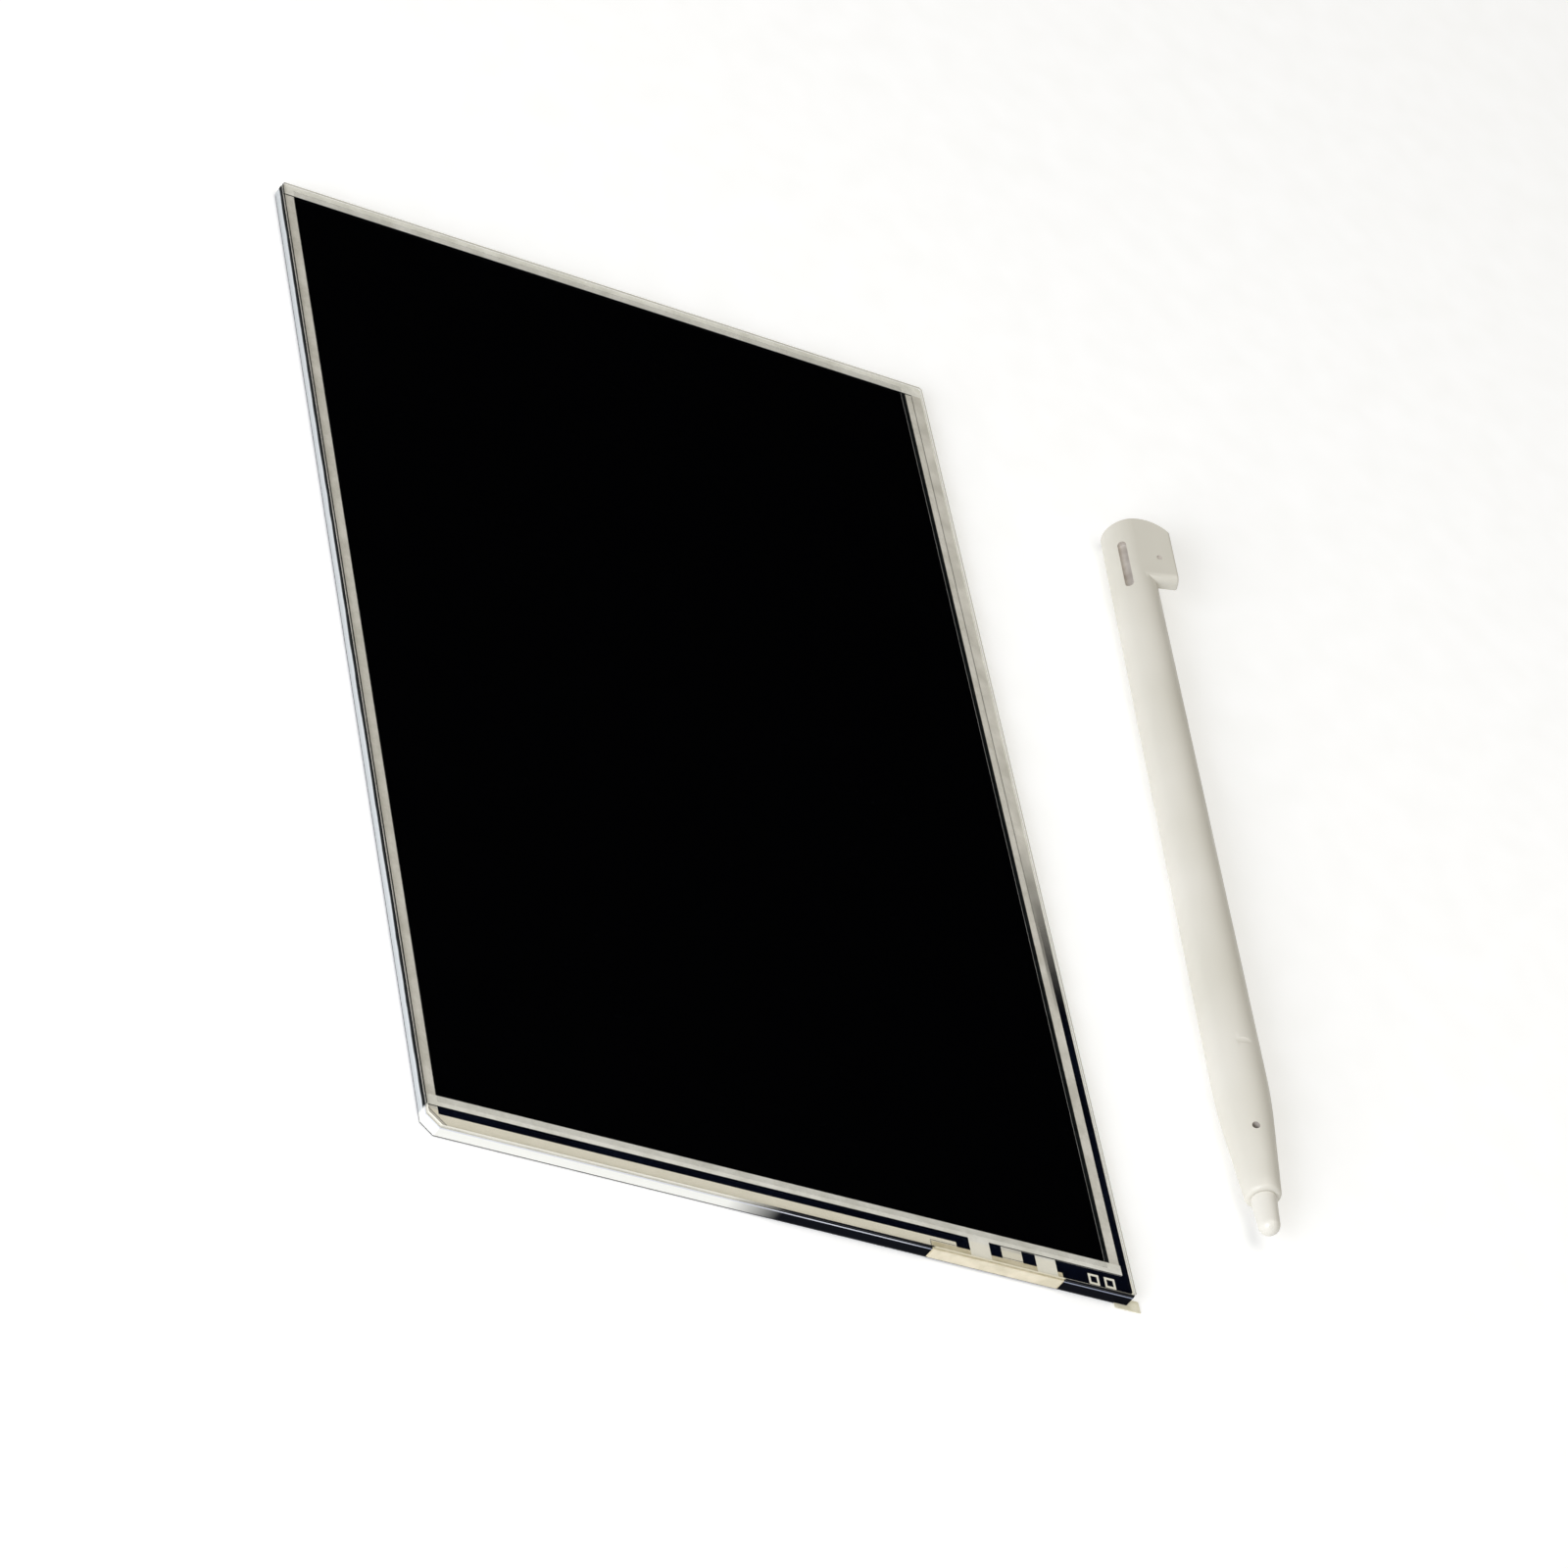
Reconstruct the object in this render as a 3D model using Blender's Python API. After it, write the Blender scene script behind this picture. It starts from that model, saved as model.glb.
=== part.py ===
"""Resistive touch panel of a handheld computer, with the slim stylus that writes on it.

The panel lies flat with its front facing +Z. X runs across the short side, Y along the
long side, and the origin is the centre of the panel's underside. From the bottom up it
is a stack: backing film, glass plate with its conductive coating and silver bars,
insulating print, spacer tape, and the flexible touch film with its own bars and coating.
The stylus lies beside the panel on the same surface, its cap towards +Y.
"""

import math

import bmesh
import bpy
from mathutils import Matrix, Vector

MM = 0.001

# Outline of the panel.
PANEL_WIDTH = 69.5 * MM
PANEL_LENGTH = 107.2 * MM
CORNER_CHAMFER = 0.2 * MM
KEYED_CHAMFER = 1.1 * MM          # the bigger corner, which shows which way round the panel goes

# Thickness of each layer, from the bottom up.
BACKING_THICKNESS = 0.10 * MM
BACKING_ADHESIVE_THICKNESS = 0.05 * MM
GLASS_THICKNESS = 1.10 * MM
COATING_THICKNESS = 0.01 * MM
SILVER_THICKNESS = 0.02 * MM
INSULATOR_THICKNESS = 0.015 * MM
SPACER_THICKNESS = 0.05 * MM
TOUCH_FILM_THICKNESS = 0.188 * MM
LAYER_GAP = 0.01 * MM             # left between two layers that lie on each other

# Borders between the black window and the panel's edges.
LEFT_BORDER = 1.15 * MM
RIGHT_BORDER = 2.45 * MM
TOP_BORDER = 1.25 * MM
BOTTOM_BORDER = 3.15 * MM
BACKING_INSET = 0.10 * MM
ADHESIVE_INSET = 0.80 * MM
ADHESIVE_WIDTH = 3.0 * MM
GLASS_EDGE_BREAK = 0.08 * MM
FILM_INSET = 0.03 * MM

# Silver print.
PRINT_MARGIN = 0.05 * MM          # from the print to the panel's edge
RIGHT_BAR_WIDTH = 1.50 * MM
BOTTOM_BAR_WIDTH = 1.05 * MM
LEAD_WIDTH = 1.15 * MM            # the left bar's lead along the bottom edge
LEAD_GAP = 0.75 * MM              # between the bottom bar and that lead
EDGE_LEAD_WIDTH = 0.16 * MM       # the top bar's lead around the right and bottom edges
EDGE_LEAD_MARGIN = 0.10 * MM
INSULATOR_OVERLAP = 0.45 * MM     # the insulating print over the right bar's inner edge
COATING_REACH = 0.60 * MM         # how far a coating runs under its bars

# Terminals and the flexible lead that is bonded to them.
TERMINAL_COUNT = 4
TERMINAL_PITCH = 3.40 * MM
TERMINAL_WIDTH = 2.10 * MM
LAST_TERMINAL_DISTANCE = 9.05 * MM    # from the panel's right edge to the last one's centre
TERMINAL_BACK_GAP = 0.12 * MM     # from the bottom bar to a terminal that doesn't join it
TERMINAL_EDGE_GAP = 0.25 * MM     # from a terminal's outer end to the panel's edge
FLEX_SIDE_MARGIN = 0.55 * MM
FLEX_BASE_THICKNESS = 0.025 * MM
FLEX_REACH = 0.80 * MM            # how far the flexible lead reaches in from the edge
FLEX_EDGE_GAP = 0.03 * MM
FLEX_FOLD_BOTTOM = 0.25 * MM      # height at which the folded lead is trimmed off
COVERLAY_THICKNESS = 0.03 * MM
COVERLAY_MARGIN = 0.15 * MM
PAD_THICKNESS = 0.015 * MM
SLOT_CLEARANCE = 0.10 * MM        # around the flexible lead in the spacer tape

# Printed marks and the release tab at the right-hand bottom corner.
MARK_SIZE = 1.10 * MM
MARK_LINE = 0.22 * MM
MARK_PITCH = 1.68 * MM
MARK_EDGE_GAP = 0.08 * MM         # from the top bar's lead to the marks
MARK_SIDE_DISTANCE = 4.20 * MM    # from the panel's right edge to the first mark's centre
RELEASE_TAB_WIDTH = 2.70 * MM
RELEASE_TAB_OUT = 1.25 * MM        # past the panel's right edge
RELEASE_TAB_REACH = 0.45 * MM      # past the panel's bottom edge
RELEASE_TAB_CLEARANCE = 0.05 * MM

# Stylus. Distances along it are measured from the tip.
STYLUS_LENGTH = 85.55 * MM
REAR_RADIUS = 2.20 * MM
SHOULDER_RADIUS = 2.53 * MM
SHOULDER_DISTANCE = 14.55 * MM
NOSE_RADIUS = 1.64 * MM
NOSE_DISTANCE = 3.9 * MM
BORE_FRONT_RADIUS = 0.90 * MM
BORE_REAR_RADIUS = 0.80 * MM
BORE_END_DISTANCE = 73.5 * MM
DOME_RADIUS = 4.4 * MM
DOME_SIDE = 0.8 * MM              # the dome's centre, from the axis towards the tab
TRIM_EXCESS = 1.0 * MM            # how far a solid reaches past the dome that trims it
TURNED_SIDES = 64

TAB_REACH = 3.8 * MM              # from the stylus's axis
TAB_THICKNESS = 1.45 * MM
TAB_LENGTH = 8.2 * MM             # from the cap's end
TAB_EDGE_RADIUS = 0.22 * MM
TAB_DRAFT = 0.25 * MM             # how much further the tab reaches at its underside

NAIL_SLOT_WIDTH = 0.85 * MM
NAIL_SLOT_LENGTH = 5.8 * MM
NAIL_SLOT_DEPTH = 0.55 * MM
NAIL_SLOT_FROM_END = 6.5 * MM     # from the cap's end to the slot's middle
NAIL_SLOT_TURN = math.radians(35)
DIMPLE_RADIUS = 0.28 * MM
DIMPLE_DEPTH = 0.12 * MM
DIMPLE_FROM_END = 5.5 * MM
DIMPLE_OUT = 2.2 * MM
VENT_RADIUS = 0.36 * MM
VENT_DISTANCE = 10.45 * MM
VENT_TURN = math.radians(8)
GATE_NICK_RADIUS = 0.60 * MM
GATE_NICK_DEPTH = 0.12 * MM
GATE_NICK_DISTANCE = 19.95 * MM
GATE_NICK_TURN = math.radians(-2)

NIB_RADIUS = 1.18 * MM
NIB_END_RADIUS = 1.00 * MM
NIB_SHANK_LENGTH = 5.0 * MM
NIB_CLEARANCE = 0.03 * MM

STYLUS_TIP_X = 50.77 * MM
STYLUS_TIP_Y = -43.55 * MM
STYLUS_HEADING = math.radians(-2.85)   # turned from +Y towards +X
STYLUS_ROLL = math.radians(-15)        # lifts the cap's tab off the surface

# Sizes that follow from those above.
LEFT_EDGE = -PANEL_WIDTH / 2
RIGHT_EDGE = PANEL_WIDTH / 2
BOTTOM_EDGE = -PANEL_LENGTH / 2
TOP_EDGE = PANEL_LENGTH / 2
WINDOW_LEFT = LEFT_EDGE + LEFT_BORDER
WINDOW_RIGHT = RIGHT_EDGE - RIGHT_BORDER
WINDOW_BOTTOM = BOTTOM_EDGE + BOTTOM_BORDER
WINDOW_TOP = TOP_EDGE - TOP_BORDER
BOTTOM_BAR_EDGE = WINDOW_BOTTOM - BOTTOM_BAR_WIDTH
LEAD_TOP = BOTTOM_BAR_EDGE - LEAD_GAP
LEAD_BOTTOM = LEAD_TOP - LEAD_WIDTH
RIGHT_BAR_EDGE = WINDOW_RIGHT + RIGHT_BAR_WIDTH
FIRST_TERMINAL_X = (RIGHT_EDGE - LAST_TERMINAL_DISTANCE
                    - (TERMINAL_COUNT - 1) * TERMINAL_PITCH)

ADHESIVE_Z = BACKING_THICKNESS + LAYER_GAP
GLASS_Z = ADHESIVE_Z + BACKING_ADHESIVE_THICKNESS + LAYER_GAP
GLASS_COATING_Z = GLASS_Z + GLASS_THICKNESS + LAYER_GAP
GLASS_SILVER_Z = GLASS_COATING_Z + COATING_THICKNESS + LAYER_GAP
INSULATOR_Z = GLASS_SILVER_Z + SILVER_THICKNESS + LAYER_GAP
SPACER_Z = INSULATOR_Z + INSULATOR_THICKNESS + LAYER_GAP
UPPER_PAD_Z = SPACER_Z + FLEX_BASE_THICKNESS + LAYER_GAP
FILM_SILVER_Z = SPACER_Z + SPACER_THICKNESS + LAYER_GAP
FILM_COATING_Z = FILM_SILVER_Z + SILVER_THICKNESS + LAYER_GAP
TOUCH_FILM_Z = FILM_COATING_Z + COATING_THICKNESS + LAYER_GAP

FLEX_LEFT = FIRST_TERMINAL_X - TERMINAL_WIDTH / 2 - FLEX_SIDE_MARGIN
FLEX_RIGHT = (FIRST_TERMINAL_X + (TERMINAL_COUNT - 1) * TERMINAL_PITCH
              + TERMINAL_WIDTH / 2 + FLEX_SIDE_MARGIN)
FLEX_BACK = BOTTOM_EDGE + FLEX_REACH
TERMINAL_OUTER = BOTTOM_EDGE + TERMINAL_EDGE_GAP
TERMINAL_INNER = BOTTOM_BAR_EDGE - TERMINAL_BACK_GAP


def remove_everything():
    for item in list(bpy.data.objects):
        bpy.data.objects.remove(item)


def linear(channel):
    """One sRGB channel, 0 to 1, as a linear value."""
    if channel <= 0.04045:
        return channel / 12.92
    return ((channel + 0.055) / 1.055) ** 2.4


def material(name, colour, roughness, metallic=0.0, alpha=1.0):
    """A Principled material whose colour is written as an sRGB hex string."""
    made = bpy.data.materials.get(name)
    if made:
        return made
    made = bpy.data.materials.new(name)
    made.use_nodes = True
    shader = made.node_tree.nodes["Principled BSDF"]
    channels = [linear(int(colour[i:i + 2], 16) / 255) for i in (0, 2, 4)]
    shader.inputs["Base Color"].default_value = (*channels, 1.0)
    shader.inputs["Roughness"].default_value = roughness
    shader.inputs["Metallic"].default_value = metallic
    shader.inputs["Alpha"].default_value = alpha
    return made


def add_object(name, shape, surface, parent=None):
    """Turns a bmesh into a named object with one material."""
    bmesh.ops.recalc_face_normals(shape, faces=shape.faces)
    mesh = bpy.data.meshes.new(name)
    shape.to_mesh(mesh)
    shape.free()
    if surface:
        mesh.materials.append(surface)
    made = bpy.data.objects.new(name, mesh)
    made.parent = parent
    bpy.context.scene.collection.objects.link(made)
    return made


def rectangle(left, right, bottom, top):
    return [(left, bottom), (right, bottom), (right, top), (left, top)]


def chamfered_rectangle(left, right, bottom, top, chamfer, keyed_chamfer):
    """A rectangle with its corners cut off, the left-hand bottom one by keyed_chamfer."""
    return [
        (left + keyed_chamfer, bottom), (right - chamfer, bottom),
        (right, bottom + chamfer), (right, top - chamfer),
        (right - chamfer, top), (left + chamfer, top),
        (left, top - chamfer), (left, bottom + keyed_chamfer),
    ]


def sheet_shape(outline, bottom, thickness, openings=()):
    """A flat sheet of any outline, with any number of openings through it."""
    shape = bmesh.new()
    edges = []
    for loop in (outline, *openings):
        corners = [shape.verts.new((x, y, bottom)) for x, y in loop]
        for start, end in zip(corners, corners[1:] + corners[:1]):
            edges.append(shape.edges.new((start, end)))
    bmesh.ops.triangle_fill(shape, use_beauty=True, use_dissolve=False, edges=edges)
    raised = bmesh.ops.extrude_face_region(shape, geom=list(shape.faces))
    top = [item for item in raised["geom"] if isinstance(item, bmesh.types.BMVert)]
    bmesh.ops.translate(shape, verts=top, vec=(0, 0, thickness))
    return shape


def add_sheet(name, outline, bottom, thickness, surface, openings=()):
    return add_object(name, sheet_shape(outline, bottom, thickness, openings), surface)


def turned_shape(profile, sides=TURNED_SIDES):
    """A solid turned around the Y axis. The profile is a list of (distance along Y, radius),
    and it starts and ends on the axis or closes on itself."""
    shape = bmesh.new()
    points = [shape.verts.new((radius, along, 0)) for along, radius in profile]
    edges = [shape.edges.new(pair) for pair in zip(points, points[1:])]
    if profile[0][1] > 0:
        edges.append(shape.edges.new((points[-1], points[0])))
    bmesh.ops.spin(shape, geom=points + edges, cent=(0, 0, 0), axis=(0, 1, 0),
                   angle=2 * math.pi, steps=sides, use_merge=True)
    bmesh.ops.remove_doubles(shape, verts=shape.verts, dist=1e-7)
    return shape


def smooth_round_faces(made, angle=35):
    made.data.shade_smooth()
    made.data.set_sharp_from_angle(angle=math.radians(angle))


def cut(body, cutter, operation="DIFFERENCE"):
    """Adds an exact Boolean to the body, and hides the cutter from the finished object."""
    change = body.modifiers.new(cutter.name, "BOOLEAN")
    change.operation = operation
    change.solver = "EXACT"
    change.object = cutter
    cutter.hide_render = True
    cutter.display_type = "WIRE"


def add_backing():
    black = material("black vinyl film", "0B0B0D", 0.6)
    tape = material("clear adhesive tape", "B9BBB4", 0.5, alpha=0.5)
    inset = BACKING_INSET
    add_sheet("backing_film",
              chamfered_rectangle(LEFT_EDGE + inset, RIGHT_EDGE - inset,
                                  BOTTOM_EDGE + inset, TOP_EDGE - inset,
                                  CORNER_CHAMFER, KEYED_CHAMFER),
              0, BACKING_THICKNESS, black)
    outer = ADHESIVE_INSET
    inner = ADHESIVE_INSET + ADHESIVE_WIDTH
    add_sheet("backing_adhesive",
              rectangle(LEFT_EDGE + outer, RIGHT_EDGE - outer,
                        BOTTOM_EDGE + outer, TOP_EDGE - outer),
              ADHESIVE_Z, BACKING_ADHESIVE_THICKNESS, tape,
              [rectangle(LEFT_EDGE + inner, RIGHT_EDGE - inner,
                         BOTTOM_EDGE + inner, TOP_EDGE - inner)])
    tab_right = RIGHT_EDGE + RELEASE_TAB_OUT
    add_sheet("backing_release_tab",
              rectangle(tab_right - RELEASE_TAB_WIDTH, tab_right,
                        BOTTOM_EDGE - RELEASE_TAB_REACH,
                        BOTTOM_EDGE + ADHESIVE_INSET - RELEASE_TAB_CLEARANCE),
              ADHESIVE_Z, BACKING_ADHESIVE_THICKNESS,
              material("cream release paper", "D8D2BC", 0.7))


def add_glass():
    shape = sheet_shape(chamfered_rectangle(LEFT_EDGE, RIGHT_EDGE, BOTTOM_EDGE, TOP_EDGE,
                                            CORNER_CHAMFER, KEYED_CHAMFER),
                        GLASS_Z, GLASS_THICKNESS)
    bmesh.ops.dissolve_limit(shape, angle_limit=math.radians(1),
                             verts=shape.verts, edges=shape.edges)
    rims = [edge for edge in shape.edges if len({round(v.co.z, 7) for v in edge.verts}) == 1]
    bmesh.ops.bevel(shape, geom=rims, offset=GLASS_EDGE_BREAK, segments=1,
                    profile=0.5, affect="EDGES")
    add_object("glass_plate", shape, material("float glass", "C8CCCE", 0.08, alpha=0.35))


def add_coatings():
    clear = material("indium tin oxide", "8C9096", 0.2, alpha=0.3)
    add_sheet("glass_coating",
              rectangle(WINDOW_LEFT - COATING_REACH, WINDOW_RIGHT + COATING_REACH,
                        WINDOW_BOTTOM, WINDOW_TOP),
              GLASS_COATING_Z, COATING_THICKNESS, clear)
    add_sheet("film_coating",
              rectangle(WINDOW_LEFT, WINDOW_RIGHT,
                        WINDOW_BOTTOM - COATING_REACH, WINDOW_TOP + COATING_REACH),
              FILM_COATING_Z, COATING_THICKNESS, clear)


def terminal_sides(number):
    """The left and right edges of a terminal, counted from 0 at the left."""
    middle = FIRST_TERMINAL_X + number * TERMINAL_PITCH
    return middle - TERMINAL_WIDTH / 2, middle + TERMINAL_WIDTH / 2


def add_glass_bars():
    """The left bar with its lead to the first terminal, and the right bar, whose foot runs
    under the bottom bar to the third terminal."""
    silver = material("printed silver ink", "C9C6B5", 0.45, metallic=0.3)
    left = LEFT_EDGE + PRINT_MARGIN
    top = TOP_EDGE - CORNER_CHAMFER
    lead_end = terminal_sides(0)[1]
    add_sheet("left_bus_bar",
              [(left, LEAD_BOTTOM + KEYED_CHAMFER),
               (left + KEYED_CHAMFER, LEAD_BOTTOM),
               (lead_end, LEAD_BOTTOM), (lead_end, LEAD_TOP),
               (WINDOW_LEFT, LEAD_TOP), (WINDOW_LEFT, top), (left, top)],
              GLASS_SILVER_Z, SILVER_THICKNESS, silver)
    foot_left, foot_right = terminal_sides(2)
    add_sheet("right_bus_bar",
              [(foot_left, TERMINAL_OUTER), (foot_right, TERMINAL_OUTER),
               (foot_right, BOTTOM_BAR_EDGE), (RIGHT_BAR_EDGE, BOTTOM_BAR_EDGE),
               (RIGHT_BAR_EDGE, top), (WINDOW_RIGHT, top),
               (WINDOW_RIGHT, WINDOW_BOTTOM), (foot_left, WINDOW_BOTTOM)],
              GLASS_SILVER_Z, SILVER_THICKNESS, silver)


def add_insulator():
    """The print that keeps the two layers' silver apart where they cross."""
    left = LEFT_EDGE + PRINT_MARGIN
    right = WINDOW_RIGHT + INSULATOR_OVERLAP
    top = TOP_EDGE - CORNER_CHAMFER
    add_sheet("insulating_print",
              [(left, BOTTOM_BAR_EDGE), (RIGHT_BAR_EDGE, BOTTOM_BAR_EDGE),
               (RIGHT_BAR_EDGE, WINDOW_BOTTOM), (right, WINDOW_BOTTOM),
               (right, WINDOW_TOP), (RIGHT_BAR_EDGE, WINDOW_TOP),
               (RIGHT_BAR_EDGE, top), (left, top), (left, WINDOW_TOP),
               (WINDOW_RIGHT, WINDOW_TOP), (WINDOW_RIGHT, WINDOW_BOTTOM),
               (left, WINDOW_BOTTOM)],
              INSULATOR_Z, INSULATOR_THICKNESS,
              material("insulating ink", "5F6663", 0.4, alpha=0.7))


def add_spacer_tape():
    """Double-sided tape around the window, notched where the flexible lead goes in."""
    outer = PRINT_MARGIN
    notch_left = FLEX_LEFT - SLOT_CLEARANCE
    notch_right = FLEX_RIGHT + SLOT_CLEARANCE
    notch_top = FLEX_BACK + SLOT_CLEARANCE
    left = LEFT_EDGE + outer
    right = RIGHT_EDGE - outer
    bottom = BOTTOM_EDGE + outer
    top = TOP_EDGE - outer
    add_sheet("spacer_tape",
              [(left + KEYED_CHAMFER, bottom), (notch_left, bottom),
               (notch_left, notch_top), (notch_right, notch_top),
               (notch_right, bottom), (right - CORNER_CHAMFER, bottom),
               (right, bottom + CORNER_CHAMFER), (right, top - CORNER_CHAMFER),
               (right - CORNER_CHAMFER, top), (left + CORNER_CHAMFER, top),
               (left, top - CORNER_CHAMFER), (left, bottom + KEYED_CHAMFER)],
              SPACER_Z, SPACER_THICKNESS,
              material("clear adhesive tape", "B9BBB4", 0.5, alpha=0.5),
              [rectangle(WINDOW_LEFT, WINDOW_RIGHT, WINDOW_BOTTOM, WINDOW_TOP)])


def add_film_bars():
    """The bottom bar with its finger to the second terminal, and the top bar, whose lead
    goes round the right and bottom edges to the fourth terminal."""
    silver = material("printed silver ink", "C9C6B5", 0.45, metallic=0.3)
    left = LEFT_EDGE + PRINT_MARGIN
    finger_left, finger_right = terminal_sides(1)
    add_sheet("bottom_bus_bar",
              [(left, BOTTOM_BAR_EDGE), (finger_left, BOTTOM_BAR_EDGE),
               (finger_left, TERMINAL_OUTER), (finger_right, TERMINAL_OUTER),
               (finger_right, BOTTOM_BAR_EDGE), (RIGHT_BAR_EDGE, BOTTOM_BAR_EDGE),
               (RIGHT_BAR_EDGE, WINDOW_BOTTOM), (left, WINDOW_BOTTOM)],
              FILM_SILVER_Z, SILVER_THICKNESS, silver)
    lead_right = RIGHT_EDGE - EDGE_LEAD_MARGIN
    lead_left = lead_right - EDGE_LEAD_WIDTH
    lead_bottom = BOTTOM_EDGE + EDGE_LEAD_MARGIN
    lead_top = lead_bottom + EDGE_LEAD_WIDTH
    bar_top = TOP_EDGE - PRINT_MARGIN
    pad_left, pad_right = terminal_sides(TERMINAL_COUNT - 1)
    add_sheet("top_bus_bar",
              [(pad_left, lead_bottom), (lead_right - CORNER_CHAMFER, lead_bottom),
               (lead_right, lead_bottom + CORNER_CHAMFER),
               (lead_right, bar_top - CORNER_CHAMFER),
               (lead_right - CORNER_CHAMFER, bar_top), (left + CORNER_CHAMFER, bar_top),
               (left, bar_top - CORNER_CHAMFER), (left, WINDOW_TOP),
               (lead_left, WINDOW_TOP), (lead_left, lead_top + CORNER_CHAMFER),
               (lead_left - CORNER_CHAMFER, lead_top), (pad_right, lead_top),
               (pad_right, TERMINAL_INNER), (pad_left, TERMINAL_INNER)],
              FILM_SILVER_Z, SILVER_THICKNESS, silver)


def add_touch_film():
    inset = FILM_INSET
    add_sheet("touch_film",
              chamfered_rectangle(LEFT_EDGE + inset, RIGHT_EDGE - inset,
                                  BOTTOM_EDGE + inset, TOP_EDGE - inset,
                                  CORNER_CHAMFER, KEYED_CHAMFER),
              TOUCH_FILM_Z, TOUCH_FILM_THICKNESS,
              material("clear polyester film", "16181A", 0.15, alpha=0.25))


def add_flexible_lead():
    """The bonded end of the flexible lead. It comes out between the glass and the film,
    folds down over the glass's edge and is trimmed there."""
    base_top = SPACER_Z + FLEX_BASE_THICKNESS
    inner_y = BOTTOM_EDGE - FLEX_EDGE_GAP
    outer_y = inner_y - FLEX_BASE_THICKNESS
    section = [(FLEX_BACK, SPACER_Z), (FLEX_BACK, base_top), (outer_y, base_top),
               (outer_y, FLEX_FOLD_BOTTOM), (inner_y, FLEX_FOLD_BOTTOM), (inner_y, SPACER_Z)]
    shape = bmesh.new()
    face = shape.faces.new([shape.verts.new((FLEX_LEFT, y, z)) for y, z in section])
    pushed = bmesh.ops.extrude_face_region(shape, geom=[face])
    moved = [item for item in pushed["geom"] if isinstance(item, bmesh.types.BMVert)]
    bmesh.ops.translate(shape, verts=moved, vec=(FLEX_RIGHT - FLEX_LEFT, 0, 0))
    add_object("flex_base", shape, material("flexible lead film", "D9CFAE", 0.5))

    cover_y = outer_y - LAYER_GAP
    shape = sheet_shape(
        rectangle(FLEX_LEFT + COVERLAY_MARGIN, FLEX_RIGHT - COVERLAY_MARGIN,
                  cover_y - COVERLAY_THICKNESS, cover_y),
        FLEX_FOLD_BOTTOM, base_top - FLEX_FOLD_BOTTOM)
    add_object("flex_coverlay", shape, material("flexible lead cover", "C9C2AE", 0.55))


def add_terminals():
    """Tinned pads on the flexible lead. The first and third face the glass's silver, the
    second and fourth face the film's."""
    tin = material("tinned copper", "C9C6B5", 0.4, metallic=0.6)
    for number in range(TERMINAL_COUNT):
        left, right = terminal_sides(number)
        faces_glass = number % 2 == 0
        add_sheet(f"terminal_{number + 1}",
                  rectangle(left, right, TERMINAL_OUTER, FLEX_BACK),
                  INSULATOR_Z if faces_glass else UPPER_PAD_Z, PAD_THICKNESS, tin)


def add_alignment_marks():
    """Two square outlines, printed on the film in the dark corner beside the terminals."""
    silver = material("printed silver ink", "C9C6B5", 0.45, metallic=0.3)
    lead_top = BOTTOM_EDGE + EDGE_LEAD_MARGIN + EDGE_LEAD_WIDTH
    middle_y = lead_top + MARK_EDGE_GAP + MARK_SIZE / 2
    for number, side in enumerate(("left", "right")):
        x = RIGHT_EDGE - MARK_SIDE_DISTANCE + number * MARK_PITCH
        half = MARK_SIZE / 2
        inner = half - MARK_LINE
        add_sheet(f"alignment_mark_{side}",
                  rectangle(x - half, x + half, middle_y - half, middle_y + half),
                  FILM_SILVER_Z, SILVER_THICKNESS, silver,
                  [rectangle(x - inner, x + inner, middle_y - inner, middle_y + inner)])


def arc(middle, radius, start, end, steps):
    """Points (distance, radius) on a circle centred on the axis, from one angle to another."""
    return [(middle + radius * math.cos(start + (end - start) * i / steps),
             radius * math.sin(start + (end - start) * i / steps))
            for i in range(steps + 1)]


def barrel_radius(distance):
    """The barrel's radius at a distance behind its shoulder."""
    share = (distance - SHOULDER_DISTANCE) / (STYLUS_LENGTH - SHOULDER_DISTANCE)
    return SHOULDER_RADIUS + (REAR_RADIUS - SHOULDER_RADIUS) * share


def bore_radius(distance):
    share = (distance - NOSE_DISTANCE) / (BORE_END_DISTANCE - NOSE_DISTANCE)
    return BORE_FRONT_RADIUS + (BORE_REAR_RADIUS - BORE_FRONT_RADIUS) * share


def nose_radius(distance):
    """The radius of the taper between the nose and the shoulder."""
    share = (distance - NOSE_DISTANCE) / (SHOULDER_DISTANCE - NOSE_DISTANCE)
    return NOSE_RADIUS + (SHOULDER_RADIUS - NOSE_RADIUS) * share


def stylus_frame():
    """An empty on the tip, turned so that the tapered barrel lies on the surface z = 0."""
    taper = math.atan2(SHOULDER_RADIUS - REAR_RADIUS, STYLUS_LENGTH - SHOULDER_DISTANCE)
    height = SHOULDER_RADIUS * math.cos(taper) + SHOULDER_DISTANCE * math.sin(taper)
    place = bpy.data.objects.new("stylus_frame", None)
    bpy.context.scene.collection.objects.link(place)
    place.location = (STYLUS_TIP_X, STYLUS_TIP_Y, height)
    turn = (Matrix.Rotation(STYLUS_HEADING, 3, "Z")
            @ Matrix.Rotation(-taper, 3, "X")
            @ Matrix.Rotation(STYLUS_ROLL, 3, "Y"))
    place.rotation_euler = turn.to_euler()
    return place


def cap_dome_shape(steps=12):
    """The dome that ends the cap and its tab, as a solid that holds the whole barrel."""
    middle = STYLUS_LENGTH - DOME_RADIUS
    return turned_shape([(0, 0), (0, DOME_RADIUS)]
                        + arc(middle, DOME_RADIUS, math.pi / 2, 0, steps)[:-1]
                        + [(STYLUS_LENGTH, 0)])


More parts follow.
